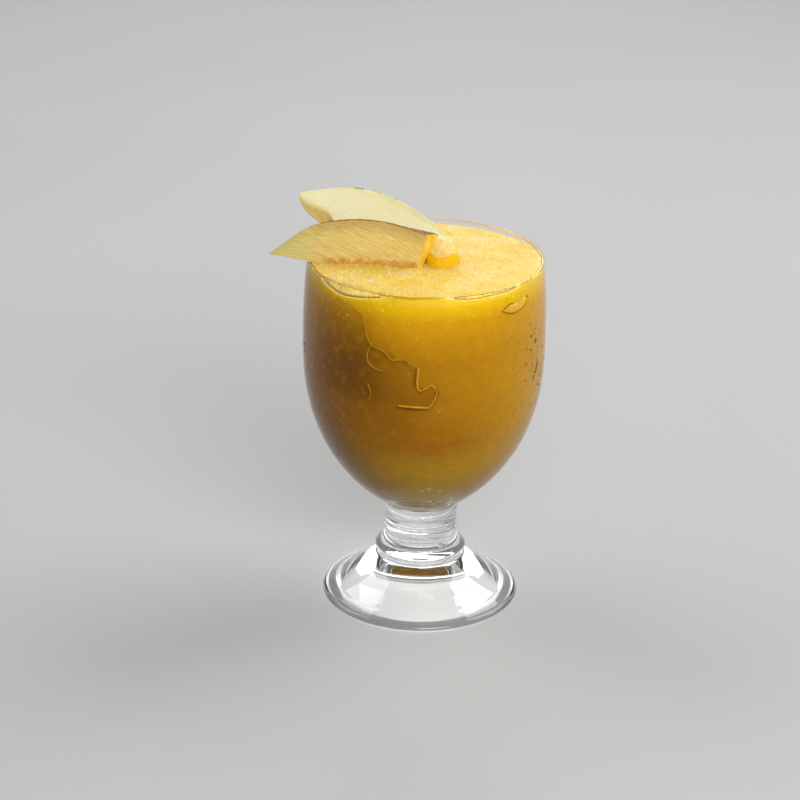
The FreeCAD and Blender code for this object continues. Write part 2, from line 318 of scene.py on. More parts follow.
class Tree:
    """Small helper for node materials."""

    def __init__(self, name):
        self.mat = bpy.data.materials.new(name)
        self.mat.use_nodes = True
        self.nt = self.mat.node_tree
        self.nt.nodes.clear()
        self.out = self.nt.nodes.new("ShaderNodeOutputMaterial")
        self.coord = None

    def new(self, kind, **props):
        n = self.nt.nodes.new(kind)
        for k, v in props.items():
            setattr(n, k, v)
        return n

    def link(self, a, b):
        self.nt.links.new(a, b)

    def put(self, socket, value):
        if hasattr(value, "is_output") or isinstance(value, bpy.types.NodeSocket):
            self.link(value, socket)
        else:
            socket.default_value = value

    def where(self):
        if self.coord is None:
            self.coord = self.new("ShaderNodeTexCoord")
        return self.coord.outputs["Object"]

    def split(self):
        s = self.new("ShaderNodeSeparateXYZ")
        self.link(self.where(), s.inputs[0])
        return s.outputs

    def noise(self, scale, detail=2.0, rough=0.5, vector=None, distortion=0.0):
        n = self.new("ShaderNodeTexNoise")
        n.inputs["Scale"].default_value = scale
        n.inputs["Detail"].default_value = detail
        n.inputs["Roughness"].default_value = rough
        n.inputs["Distortion"].default_value = distortion
        self.link(vector or self.where(), n.inputs["Vector"])
        return n.outputs["Fac"]

    def voronoi(self, scale, feature="F1", vector=None, out="Distance"):
        n = self.new("ShaderNodeTexVoronoi", feature=feature)
        n.inputs["Scale"].default_value = scale
        self.link(vector or self.where(), n.inputs["Vector"])
        return n.outputs[out]

    def attr(self, name):
        n = self.new("ShaderNodeAttribute", attribute_name=name)
        return n.outputs["Fac"]

    def scaled(self, x, y, z, rot=(0, 0, 0)):
        n = self.new("ShaderNodeMapping")
        n.inputs["Scale"].default_value = (x, y, z)
        n.inputs["Rotation"].default_value = rot
        self.link(self.where(), n.inputs["Vector"])
        return n.outputs[0]

    def ramp(self, value, stops, ease="LINEAR"):
        n = self.new("ShaderNodeValToRGB")
        n.color_ramp.interpolation = ease
        els = n.color_ramp.elements
        while len(els) < len(stops):
            els.new(0.5)
        for e, (p, c) in zip(els, stops):
            e.position = p
            e.color = c if len(c) == 4 else (*c, 1.0)
        self.link(value, n.inputs[0])
        return n.outputs[0]

    def span(self, value, a, b, c=0.0, d=1.0):
        n = self.new("ShaderNodeMapRange")
        n.inputs["From Min"].default_value = a
        n.inputs["From Max"].default_value = b
        n.inputs["To Min"].default_value = c
        n.inputs["To Max"].default_value = d
        self.link(value, n.inputs["Value"])
        return n.outputs[0]

    def math(self, op, a, b=0.0, clamp=False):
        n = self.new("ShaderNodeMath", operation=op, use_clamp=clamp)
        self.put(n.inputs[0], a)
        self.put(n.inputs[1], b)
        return n.outputs[0]

    def mix(self, factor, a, b, blend="MIX"):
        n = self.new("ShaderNodeMix", data_type="RGBA", blend_type=blend)
        self.put(n.inputs["Factor"], factor)
        self.put(n.inputs[6], a)
        self.put(n.inputs[7], b)
        return n.outputs[2]

    def bump(self, height, strength, distance, normal=None):
        n = self.new("ShaderNodeBump")
        n.inputs["Strength"].default_value = strength
        n.inputs["Distance"].default_value = distance
        self.link(height, n.inputs["Height"])
        if normal is not None:
            self.link(normal, n.inputs["Normal"])
        return n.outputs[0]

    def principled(self, **values):
        n = self.new("ShaderNodeBsdfPrincipled")
        for k, v in values.items():
            self.put(n.inputs[k.replace("_", " ")], v)
        return n

    def done(self, shader):
        self.link(shader, self.out.inputs["Surface"])
        return self.mat


def glass_material(name, ior, shadow, rough=0.0, colour=(0.985, 0.99, 0.988, 1.0), dimples=None, shine=1.0):
    """Clear glass or water. Lamps' light goes straight through it."""
    t = Tree(name)
    p = t.principled(Base_Color=colour, Roughness=rough, IOR=ior, Transmission_Weight=1.0)
    p.inputs["Specular Tint"].default_value = (shine, shine, shine, 1.0)
    if dimples:
        n = t.noise(dimples[0], 2.0)
        t.link(t.bump(n, dimples[1], dimples[2]), p.inputs["Normal"])
    clear = t.new("ShaderNodeBsdfTransparent")
    clear.inputs[0].default_value = shadow
    path = t.new("ShaderNodeLightPath")
    mix = t.new("ShaderNodeMixShader")
    t.link(path.outputs["Is Shadow Ray"], mix.inputs[0])
    t.link(p.outputs[0], mix.inputs[1])
    t.link(clear.outputs[0], mix.inputs[2])
    return t.done(mix.outputs[0])


MAT_GLASS = glass_material("glass", 1.5, (0.93, 0.94, 0.94, 1.0), dimples=(55.0, 0.06, 0.0006))
MAT_BOWL = glass_material("glass_bowl", 1.5, (0.93, 0.94, 0.94, 1.0), dimples=(55.0, 0.06, 0.0006), shine=0.22)
MAT_WATER = glass_material("water", 1.33, (0.97, 0.97, 0.97, 1.0))


def juice(name, low, high, rough=0.07):
    """Thin juice that ran down the outside of the glass, as an opaque colour; some of its uses carry painted light: a
    lighter run for the highlight along its ridge, near-black drops as a painted dark reflection, dark lines as painted
    shade at the edges of water.
    """
    t = Tree(name)
    p = t.principled(Base_Color=t.ramp(t.span(t.noise(260.0, 2.0), 0.35, 0.65), [(0.0, low), (1.0, high)]), Roughness=rough, IOR=1.34)
    p.inputs["Subsurface Weight"].default_value = 0.4
    p.inputs["Subsurface Radius"].default_value = (1.0, 0.7, 0.2)
    p.inputs["Subsurface Scale"].default_value = 0.0008
    return t.done(p.outputs[0])


# juice run whose lighter colour is partly a painted highlight along the run's ridge
MAT_RUN_AND_HIGHLIGHT = juice("juice_run_and_painted_highlight", srgb(200, 142, 10), srgb(222, 168, 36))
MAT_TRACE = juice("juice_trace", srgb(176, 118, 2), srgb(206, 150, 14))
# near-black drops: a painted dark reflection, for drops that show dark surroundings
MAT_DROP_PAINTED_DARK = juice("drop_painted_dark_reflection", srgb(54, 34, 2), srgb(92, 62, 6))
# dark lines: painted shade for the dark refraction at the edges of water
MAT_PAINTED_DARK_EDGE = juice("painted_dark_edge", srgb(104, 70, 4), srgb(142, 100, 10))


def granita_top():
    t = Tree("granita_top")
    crystals = t.voronoi(1700.0)
    grains = t.voronoi(760.0)
    soft = t.noise(90.0, 3.0, 0.55)
    streak = t.noise(34.0, 2.0, 0.5, distortion=0.6)
    high = t.attr("relief")
    base = t.ramp(t.span(soft, 0.32, 0.7), [(0.0, srgb(240, 200, 72)), (0.45, srgb(247, 214, 100)), (1.0, srgb(250, 225, 140))])
    base = t.mix(t.span(streak, 0.56, 0.70, 0.0, 0.75), base, srgb(240, 206, 62))
    # painted shade in the hollows of the relief and painted highlight on its crests
    base = t.mix(t.span(high, -0.03, -0.42, 0.0, 0.9), base, srgb(228, 178, 40))
    base = t.mix(t.span(high, 0.06, 0.42, 0.0, 0.8), base, srgb(254, 234, 176))
    base = t.mix(t.span(grains, 0.26, 0.08, 0.0, 0.4), base, srgb(255, 240, 196))
    base = t.mix(t.span(crystals, 0.42, 0.62, 0.0, 0.35), base, srgb(228, 174, 62))
    wet = t.attr("wet")
    base = t.mix(wet, base, srgb(254, 196, 6))
    # painted shade: a dark line where the ice meets the glass under the lip and along the pockets' lower edge, with
    # small reddish specks along the front
    base = t.mix(t.attr("line"), base, srgb(112, 76, 6))
    p = t.principled(Base_Color=base, IOR=1.33)
    rough = t.math("SUBTRACT", t.span(t.noise(420.0, 1.0), 0.35, 0.65, 0.30, 0.55), t.math("MULTIPLY", wet, 0.26))
    t.link(rough, p.inputs["Roughness"])
    p.inputs["Subsurface Weight"].default_value = 0.3
    p.inputs["Subsurface Radius"].default_value = (1.0, 0.62, 0.16)
    p.inputs["Subsurface Scale"].default_value = 0.0016
    b = t.bump(crystals, 0.5, 0.0003)
    b = t.bump(grains, 0.4, 0.0005, b)
    t.link(b, p.inputs["Normal"])
    return t.done(p.outputs[0])


def granita_side():
    """The body against the glass: pale and foamy at the top, deep amber lower down, thin and olive at the bottom; the
    fall from pale to dark down the side is partly painted shade, for less light from above reaching the lower body.
    """
    t = Tree("granita_side")
    x, y, z = t.split()
    zmm = t.math("MULTIPLY", z, 1000.0)
    az = t.math("MULTIPLY", t.math("ARCTAN2", t.math("SUBTRACT", x, AXIS_X * MM), t.math("SUBTRACT", AXIS_Y * MM, y)), 57.2958)
    wander = t.noise(30.0, 3.0, 0.55)
    wander2 = t.noise(24.0, 2.0, 0.5, vector=t.scaled(1.0, 1.0, 1.0, (0.4, 1.1, 2.0)))
    az_w = t.math("ADD", az, t.math("MULTIPLY", t.math("SUBTRACT", wander, 0.5), 26.0))
    z_w = t.math("ADD", zmm, t.math("MULTIPLY", t.math("SUBTRACT", wander2, 0.5), 16.0))

    def blob(az0, z0, wide, tall, power=2.0, a=None, h=None):
        u = t.math("POWER", t.math("ABSOLUTE", t.math("DIVIDE", t.math("SUBTRACT", a or az_w, az0), wide)), power)
        w = t.math("POWER", t.math("ABSOLUTE", t.math("DIVIDE", t.math("SUBTRACT", h or z_w, z0), tall)), power)
        return t.math("EXPONENT", t.math("MULTIPLY", t.math("ADD", u, w), -1.0))

    rel = t.span(t.math("ADD", zmm, t.math("MULTIPLY", t.math("SUBTRACT", wander, 0.5), 5.0)), 38.0, 139.0)
    base = t.ramp(rel, SIDE_RAMP)
    # painted shade all round the left, where less light comes through the ice, and painted light on the right, which
    # faces the brighter lamp
    base = t.mix(t.math("MULTIPLY", blob(66.0, 90.0, 38.0, 44.0, 2.6), 0.85), base, SIDE_RIGHT_PAINTED_LIGHT)
    base = t.mix(blob(-72.0, 92.0, 38.0, 46.0, 2.6), base, SIDE_LEFT_PAINTED_SHADE)
    # painted shade under the slices, which keep the light from above off the upper left of the body
    base = t.mix(t.math("MULTIPLY", blob(-36.0, 107.0, 19.0, 15.0), 0.72), base, SIDE_DEEP)
    base = t.mix(t.math("MULTIPLY", blob(-16.0, 92.0, 15.0, 12.0), 0.30), base, SIDE_DEEP)
    base = t.mix(t.math("MULTIPLY", blob(2.0, 80.0, 26.0, 6.0), 0.55), base, SIDE_AMBER)
    base = t.mix(t.math("MULTIPLY", blob(6.0, 63.0, 26.0, 8.0), 0.50), base, SIDE_OLIVE)
    # where the outside was wiped by a run of water the amber shows clear and dark; the edge of the run is sharp
    edge = t.ramp(t.span(zmm, 94.0, 134.0), [(p, (v, v, v, 1.0)) for p, v in RUN_EDGE])
    line_az = t.span(edge, 0.0, 1.0, -60.0, 20.0)
    n = t.new("ShaderNodeMapRange", interpolation_type="SMOOTHSTEP")
    t.put(n.inputs["Value"], t.math("SUBTRACT", line_az, az))
    n.inputs["From Min"].default_value, n.inputs["From Max"].default_value = -0.7, 0.9
    wiped = t.math("MULTIPLY", n.outputs[0], t.math("MULTIPLY", t.span(zmm, 130.5, 125.0), t.span(zmm, 95.0, 98.0)))
    wiped = t.math("MULTIPLY", wiped, t.span(az, -64.0, -50.0))
    base = t.mix(t.math("MULTIPLY", wiped, 0.26, clamp=True), base, SIDE_DEEP)
    # the rest has soft clouds of its own
    cloud = t.noise(19.0, 2.0, 0.5, vector=t.scaled(1.0, 1.0, 0.75, (1.0, 0.3, 0.6)))
    behind = t.span(t.math("ABSOLUTE", az), 70.0, 110.0)
    base = t.mix(t.math("MULTIPLY", t.span(cloud, 0.48, 0.72, 0.0, 0.45), t.math("ADD", t.math("MULTIPLY", behind, 0.85), 0.15)), base, SIDE_DEEP)
    # the grain of the ice showing through
    grain = t.noise(330.0, 2.0, 0.6)
    base = t.mix(t.span(grain, 0.52, 0.75, 0.0, 0.14), base, srgb(236, 178, 20))
    base = t.mix(t.span(grain, 0.46, 0.25, 0.0, 0.16), base, SIDE_DEEP)
    # ice flecks near the top and a frosty film low down
    fleck = t.voronoi(560.0)
    some = t.math("MULTIPLY", t.span(fleck, 0.24, 0.12), t.span(t.noise(160.0, 1.0), 0.48, 0.62))
    base = t.mix(t.math("MULTIPLY", some, t.span(z, 0.116, 0.137, 0.0, 0.8), clamp=True), base, srgb(255, 226, 96))
    low = t.voronoi(480.0, vector=t.scaled(1.0, 1.0, 2.6))
    base = t.mix(t.math("MULTIPLY", t.span(low, 0.34, 0.10), t.span(z, 0.052, 0.041, 0.0, 0.30), clamp=True), base, srgb(214, 198, 140))
    p = t.principled(Base_Color=base, IOR=1.36)
    p.inputs["Roughness"].default_value = 0.45
    p.inputs["Specular IOR Level"].default_value = 0.05
    p.inputs["Subsurface Weight"].default_value = 0.25
    p.inputs["Subsurface Radius"].default_value = (1.0, 0.5, 0.05)
    p.inputs["Subsurface Scale"].default_value = 0.004
    return t.done(p.outputs[0])


# colour of the body by height, darker lower down partly as painted shade, and its darker and clearer parts, among them
# painted shade on the left and under the slices and painted light on the right
SIDE_RAMP = [
    (0.00, srgb(200, 142, 40)), (0.022, srgb(182, 132, 30)), (0.05, srgb(166, 130, 34)), (0.12, srgb(168, 131, 14)), (0.30, srgb(168, 125, 0)), (0.48, srgb(162, 109, 0)),
    (0.75, srgb(174, 122, 0)), (0.89, srgb(206, 154, 0)), (0.95, srgb(228, 190, 8)), (0.985, srgb(240, 204, 30)), (1.0, srgb(250, 218, 84))]
SIDE_DEEP, SIDE_LEFT_PAINTED_SHADE, SIDE_RIGHT_PAINTED_LIGHT = srgb(100, 54, 0), srgb(134, 86, 0), srgb(190, 144, 2)
SIDE_AMBER, SIDE_OLIVE = srgb(146, 83, 0), srgb(180, 142, 2)
RUN_EDGE = [((z - 94.0) / 40.0, (a + 60.0) / 80.0) for z, a in (
    (94.0, -18.0), (95.6, -11.0), (96.1, 1.0), (98.6, 4.8), (101.8, 6.0), (103.3, 1.8), (104.6, -2.7), (107.8, -2.6), (111.7, -2.4), (112.4, -5.9),
    (113.9, -9.0), (116.7, -17.0), (117.7, -22.0), (119.5, -25.8), (122.4, -27.4), (127.2, -28.8), (129.2, -30.2), (130.6, -33.6), (132.0, -38.5), (134.0, -44.0))]

MAT_TOP = granita_top()
MAT_SIDE = granita_side()


def ice_material(name, colour):
    t = Tree(name)
    n = t.noise(900.0, 1.0)
    p = t.principled(Base_Color=t.ramp(t.span(n, 0.3, 0.7), [(0.0, colour), (1.0, srgb(255, 246, 214))]), Roughness=0.12, IOR=1.31)
    p.inputs["Subsurface Weight"].default_value = 0.5
    p.inputs["Subsurface Radius"].default_value = (1.0, 0.8, 0.4)
    p.inputs["Subsurface Scale"].default_value = 0.001
    return t.done(p.outputs[0])


MAT_ICE = ice_material("ice_grains", srgb(252, 222, 140))
# pale colour of the bubbles: a painted glint of trapped air
MAT_BUBBLE_GLINT = ice_material("bubbles", srgb(246, 224, 150))

# ---- glass ---------------------------------------------------------------------------------------
gv, gf = lathe(glass_profile(), 256, stem_warp)
gz = np.array([np.mean([gv[i][2] for i in f]) for f in gf])
gr = np.array([np.mean([math.hypot(gv[i][0], gv[i][1]) for i in f]) for f in gf])
wall = (gz > 43.0) & (gz < 134.5) & (gr > (outside(gz) + inside(gz)) / 2)
goblet = build("goblet", gv, gf, [MAT_GLASS, MAT_BOWL], replaces=["glass"], index=wall.astype(int))


# ---- granita -------------------------------------------------------------------------------------
def level(x, y):
    """The CAD surface: a gentle crown, lower at the back."""
    sag = TOP_Z - (TOP_BACK_Z + TOP_FRONT_Z) / 2
    big = (LEVEL_R ** 2 + sag ** 2) / (2 * sag)
    slope = (TOP_FRONT_Z - TOP_BACK_Z) / (2 * LEVEL_R)
    return (TOP_Z - big) + np.sqrt(np.maximum(big ** 2 - x ** 2 - (y + slope * big) ** 2, 1))


def bell(az, centre, half, soft):
    """1 within half of centre, falling to 0 over soft, all in degrees."""
    d = np.abs((az - centre + 180) % 360 - 180)
    return 1 - smooth(half - soft, half + soft, d)


def contact(az):
    """Height to which the granita touches the wall, by azimuth from the front."""
    p = np.stack([np.cos(np.radians(az)) * 43, np.sin(np.radians(az)) * 43, np.zeros_like(az)], -1)
    back = smooth(52, 105, np.abs((az + 180) % 360 - 180))
    z = (136.95 + 0.55 * bell(az, -3, 14, 4)) * (1 - back) + 135.1 * back
    z = z + (0.25 + 0.40 * back) * noise3(p, 5.0, 5) + (0.2 + 0.22 * back) * noise3(p, 1.6, 6)
    # two flat pockets of air under the rim at the front
    d = (az + 180) % 360 - 180
    left = np.interp(d, [-60, -58.5, -51.9, -46.1, -41.5, -33.3, -27.8, -22.5, -20.4], [137.4, 135.9, 134.7, 133.8, 133.6, 134.3, 135.1, 136.0, 137.5])
    right = np.interp(d, [10.6, 13.1, 17.1, 20.3, 26.3, 33.8, 42.7, 50.0, 52.0], [137.6, 136.9, 136.3, 136.1, 136.0, 136.1, 136.1, 136.5, 137.5])
    in_left, in_right = (d > -60) & (d < -20.4), (d > 10.6) & (d < 52.0)
    z = np.where(in_left, np.minimum(z, left), z)
    z = np.where(in_right, np.minimum(z, right), z)
    return z, np.maximum(bell(az, -40, 20, 2.5), bell(az, 31, 21, 2.5))


def relief(p):
    """Height of the scraped ice over the smooth surface, and its fine part for the colours."""
    q = p.copy()
    q[:, 2] = 0
    warp = np.stack([noise3(q, 3.0, 41), noise3(q, 3.0, 42), np.zeros(len(q))], -1) * 0.7
    q2 = q + warp
    broad = 0.34 * noise3(q, 17.0, 1) + 0.26 * noise3(q2, 7.0, 2) + 0.16 * noise3(q2, 3.1, 4)
    n1, s1, t1 = cells(q2, 2.3, 11)
    n2, s2, t2 = cells(q2, 1.05, 12)
    n3, s3, t3 = cells(q2, 0.62, 13)
    coarse = np.exp(-(((p[:, 0] + 26) / 17) ** 2 + ((p[:, 1] + 27) / 13) ** 2))      # coarser ice at the front left
    fine = (0.22 + 0.12 * coarse) * (t1 - 0.5) * smooth(0.02, 0.25, s1 - n1) + (0.26 + 0.22 * coarse) * (0.45 - n2) * (0.4 + t2) + 0.20 * (0.45 - n3) * (0.3 + t3)
    fine = fine + 0.12 * noise3(q2, 1.6, 3)
    # a few pits where ice crystals fell away
    pits = smooth(0.34, 0.62, noise3(q2, 4.2, 9)) * smooth(0.2, 0.5, s2 - n2) * 0.32
    return broad, fine - pits


# syrupy streaks in the ice: middle, half length and half width, turn, how wet
STREAKS = ((-8.6, -29.2, 6.6, 2.9, -24, 0.62), (-17.3, -20.0, 2.2, 0.9, -10, 0.95), (27.5, -3.8, 5.4, 2.4, 3, 0.55), (20.0, 7.0, 5.5, 2.2, 12, 0.40),
           (31.0, 9.0, 4.0, 1.3, -35, 0.35), (9.0, -24.5, 6.0, 1.2, 8, 0.30), (17.0, -17.0, 4.5, 1.3, -18, 0.35), (-26.0, -19.5, 5.0, 0.9, 4, 0.45),
           (22.0, -27.0, 5.0, 1.1, 24, 0.25), (4.0, 26.0, 6.0, 1.8, 10, 0.4), (-16.0, 21.0, 6.5, 1.7, -25, 0.45))


def top_point(p):
    """The ice's surface over points of the plan: position, fine relief, wetness."""
    z = level(p[:, 0], p[:, 1])
    broad, fine = relief(p)
    rho = np.hypot(p[:, 0], p[:, 1])
    az = np.degrees(np.arctan2(p[:, 0], -p[:, 1]))
    front = bell(az, -3, 12, 5) * smooth(33, 41, rho)
    calm = 1 - 0.3 * smooth(37, 42, rho)
    q = p.copy()
    # a dip where the knob was scooped up, and a low bank behind it
    dip = np.exp(-(((p[:, 0] - KNOB[0]) / 10.5) ** 2 + ((p[:, 1] - KNOB[1]) / 9.5) ** 2) ** 2)
    bank = np.exp(-(((p[:, 0] - 15.5) / 6.0) ** 2 + ((p[:, 1] - 3.5) / 9.0) ** 2))
    q[:, 2] = z + (broad + fine) * calm + 0.15 * front - 0.5 * dip + 0.7 * bank
    wetness = smooth(0.30, 0.55, noise3(p, 6.0, 31)) * smooth(-0.02, -0.3, fine) * 0.5
    for cx, cy, lx, ly, turn_deg, how in STREAKS:
        c, s = math.cos(math.radians(turn_deg)), math.sin(math.radians(turn_deg))
        u = (p[:, 0] - cx) * c + (p[:, 1] - cy) * s
        v = -(p[:, 0] - cx) * s + (p[:, 1] - cy) * c
        k = np.exp(-((u / lx) ** 2 + ((v + 0.5 * noise3(p, 3.0, 33)) / ly) ** 2)) * (0.75 + 0.5 * noise3(p, 1.6, 34))
        q[:, 2] -= 0.22 * np.clip(k, 0, 1)
        wetness = np.maximum(wetness, k * how)
    # juice along the foot of the front slice
    along = smooth(-40.5, -36.5, p[:, 0]) * smooth(1.0, -3.0, p[:, 0])
    foot = np.exp(-((p[:, 1] + 14.6 - 0.9 * noise3(p, 3.5, 35)) / 1.3) ** 2) * along
    wetness = np.maximum(wetness, foot * (0.42 + 0.35 * noise3(p, 2.0, 36)))
    q[:, 2] -= 0.2 * foot
    return q, fine, np.clip(wetness, 0, 1)


def granita_body():
    n_az = 720
    verts, rel, wet, line, faces, index = [], [], [], [], [], []

    def add(points, r=0.0, w=0.0, ln=0.0):
        start, k = len(verts), len(points)
        verts.extend(points.tolist())
        rel.extend(np.broadcast_to(r, k).tolist())
        wet.extend(np.broadcast_to(w, k).tolist())
        line.extend(np.broadcast_to(ln, k).tolist())
        return list(range(start, start + k))

    def stitch(outer, inner, m, flip=False):
        """Faces between a ring and the next one, which has as many points or half as many."""
        no, ni = len(outer), len(inner)
        new = []
        if ni == no:
            new = [(outer[i], outer[(i + 1) % no], inner[(i + 1) % ni], inner[i]) for i in range(no)]
        else:
            for i in range(ni):
                o0, o1, o2 = outer[2 * i], outer[(2 * i + 1) % no], outer[(2 * i + 2) % no]
                i0, i1 = inner[i], inner[(i + 1) % ni]
                new += [(o0, o1, i0), (o1, i1, i0), (o1, o2, i1)]
        if flip:
            new = [tuple(reversed(f)) for f in new]
        faces.extend(new)
        index.extend([m] * len(new))

    EDGE = 40.6
    az = np.arange(n_az) * 360.0 / n_az
    a = np.radians(az - 90)
    zc, pocket = contact(az)
    circle = np.stack([np.cos(a), np.sin(a), np.zeros(n_az)], -1)
    edge = EDGE - 0.9 * smooth(45, 100, np.abs((az + 180) % 360 - 180)) + 0.55 * noise3(circle * 42, 4.0, 21) + 0.32 * noise3(circle * 42, 1.5, 22)

    def top_ring(n, rho):
        k = n_az // n
        rr = rho * (1 + (edge[::k] / EDGE - 1) * smooth(26, EDGE, rho))
        return circle[::k] * rr[:, None]

    first_q, first_f, first_w = top_point(top_ring(n_az, EDGE))
    edge_r = np.hypot(first_q[:, 0], first_q[:, 1])
    wall_r = inside(np.minimum(zc, LIP_Z)) + 0.16
    front = bell(az, -3, 12.5, 2.5)

    # the wall, from its upper edge down to the pole
    steps = 112
    ids = None
    for i in range(steps, 0, -1):
        s = i / steps
        zz = POLE + (zc - POLE) * (s ** 1.35)
        rr = inside(zz) + 0.16 * smooth(0, 0.04, s)
        n = 720 if i > steps - 3 else 360 if s > 0.34 else 180 if s > 0.10 else 90
        pick = slice(None, None, n_az // n)
        p = np.stack([(rr * np.cos(a))[pick], (rr * np.sin(a))[pick], zz[pick]], -1)
        new = add(p)
        if ids is None:
            top_wall_ids = new
        else:
            stitch(ids, new, 1)
        ids = new
    pole = add(np.array([[0, 0, POLE - 0.1]]))[0]
    for i in range(len(ids)):
        faces.append((ids[i], ids[(i + 1) % len(ids)], pole))
        index.append(1)

    # the rounded shoulder, from the wall in to the top's edge
    ids = top_wall_ids
    shoulder = 14
    for i in range(shoulder - 1, 0, -1):
        s = i / shoulder
        full = math.sin(s * math.pi / 2) ** 0.85
        drop = 1 - math.cos(s * math.pi / 2)
        flat = s * 0.80                              # against a pocket of air the shoulder slopes back from the glass
        rr = edge_r + (wall_r - edge_r) * (full * (1 - pocket) + flat * pocket)
        zz = first_q[:, 2] + (zc - first_q[:, 2]) * drop
        # at the front the ice lies over the lip
        over = math.sin(math.pi * s)
        rr = rr + 1.75 * front * over ** 0.8
        zz = zz + 0.42 * front * over ** 0.7
        p = np.stack([rr * np.cos(a), rr * np.sin(a), zz], -1)
        lump = 0.18 * noise3(p, 1.5, 51) + 0.16 * noise3(p, 0.8, 52)
        n2, s2, t2 = cells(p, 0.9, 53)
        lump = (lump + 0.22 * (0.45 - n2) * (0.4 + t2)) * (0.35 + 0.65 * pocket)
        p[:, 0] += lump * np.cos(a)
        p[:, 1] += lump * np.sin(a)
        p[:, 2] += 0.5 * lump
        # painted shade: the dark line at the ice's contact with the glass and at the pockets; the lumps' relief also
        # gives painted shade and highlight in the top's colours
        dark = {13: 1.0, 12: 0.6, 11: 0.15}.get(i, 0.0) * np.maximum(pocket, (0.85 * (i > 12) + 0.5 * (i == 12)) * (1 - front))
        speck = front * smooth(0.25, 0.5, noise3(p, 1.0, 54)) * (0.25 if s > 0.5 else 0.0)
        new = add(p, lump * 1.3, 0.35 * smooth(0.1, 0.4, noise3(p, 2.0, 55)) * (1 - pocket), np.maximum(dark, speck))
        stitch(ids, new, 0, True)
        ids = new
    rho = EDGE
    while rho > 0.5:
        n = 720 if rho > 21 else 360 if rho > 10.5 else 180 if rho > 5.2 else 90 if rho > 2.5 else 45
        q, f, w = top_point(top_ring(n, rho))
        new = add(q, f, w)
        stitch(ids, new, 0, True)
        ids = new
        rho -= 0.41 if n == 720 else 0.38
    q, f, w = top_point(np.array([[0.0, 0.0, 0.0]]))
    centre = add(q, f, w)[0]
    for i in range(len(ids)):
        faces.append((ids[(i + 1) % len(ids)], ids[i], centre))
        index.append(0)
    return np.array(verts), faces, np.array(index), {"relief": rel, "wet": wet, "line": line}


bv, bf, bi, battr = granita_body()
granita = build("granita_body", bv, bf, [MAT_TOP, MAT_SIDE], replaces=["granita"], index=bi, attrs=battr)


def ball(n_up=48, n_round=64):
    """A unit ball as a grid of points with its faces."""
    verts = [(0, 0, -1.0)]
    for i in range(1, n_up):
        th = math.pi * i / n_up - math.pi / 2
        for j in range(n_round):
            ph = 2 * math.pi * j / n_round
            verts.append((math.cos(th) * math.cos(ph), math.cos(th) * math.sin(ph), math.sin(th)))
    verts.append((0, 0, 1.0))
    faces = []
    for j in range(n_round):
        faces.append((0, 1 + (j + 1) % n_round, 1 + j))
    for i in range(n_up - 2):
        for j in range(n_round):
            a, b = 1 + i * n_round + j, 1 + i * n_round + (j + 1) % n_round
            faces.append((a, b, b + n_round, a + n_round))
    top = len(verts) - 1
    base = 1 + (n_up - 2) * n_round
    for j in range(n_round):
        faces.append((base + j, base + (j + 1) % n_round, top))
    return np.array(verts), faces


def make_knob():
    v, f = ball(140, 200)
    p = v * np.array(KNOB_SIZE) * 0.97 + np.array(KNOB)
    broad = noise3(p, 6.0, 61)
    n2, s2, t2 = cells(p, 1.0, 62)
    n3, s3, t3 = cells(p, 0.6, 63)
    # granular on top, smooth and wet on the side that faces the front
    up, facing = v[:, 2], -v[:, 1]
    wet = smooth(0.60, 0.42, up + 0.20 * noise3(p, 3.2, 65) + 0.07 * noise3(p, 0.9, 66)) * smooth(-0.15, 0.25, facing - 0.25 * v[:, 0])
    fine = 0.32 * (0.45 - n2) * (0.4 + t2) + 0.24 * (0.45 - n3) + 0.14 * noise3(p, 1.8, 64)
    push = 0.45 * broad + 0.3 * noise3(p, 2.6, 67) * (1 - 0.7 * wet) + fine * (1 - wet) * 0.9 - 0.45 * wet
    p = p + v * push[:, None]
    # the raised relief value lifts the knob's granular top towards the pale colour as painted light, and its fine part
    # gives painted shade in the hollows
    return build("knob", p, f, [MAT_TOP], attrs={"relief": (fine * 0.5 + 0.26) * (1 - wet), "wet": wet * 0.97, "line": np.zeros(len(p))})


knob = make_knob()

# ---- loose ice grains on the top ----------------------------------------------------------------
rng = np.random.default_rng(7)


def small_solid():
    """An octahedron cut once: 18 points, 32 faces."""
    pts = [(1, 0, 0), (-1, 0, 0), (0, 1, 0), (0, -1, 0), (0, 0, 1), (0, 0, -1)]
    tri = [(0, 2, 4), (2, 1, 4), (1, 3, 4), (3, 0, 4), (2, 0, 5), (1, 2, 5), (3, 1, 5), (0, 3, 5)]
    pts, faces, seen = [tuple(map(float, b)) for b in pts], [], {}

    def mid(i, j):
        key = (min(i, j), max(i, j))
        if key not in seen:
            m = (np.array(pts[i]) + np.array(pts[j])) / 2
            seen[key] = len(pts)
            pts.append(tuple(m / np.linalg.norm(m)))
        return seen[key]
    for a, b, c in tri:
        ab, bc, ca = mid(a, b), mid(b, c), mid(c, a)
        faces += [(a, ab, ca), (ab, b, bc), (ca, bc, c), (ab, bc, ca)]
    return np.array(pts), np.array(faces)


UNIT, UNIT_FACES = small_solid()


def many(name, v, material, shade):
    n, k = v.shape[0], v.shape[1]
    fa = (UNIT_FACES[None] + (np.arange(n) * k)[:, None, None]).reshape(-1, 3)
    return build(name, v.reshape(-1, 3), fa.tolist(), [material], shade=shade)


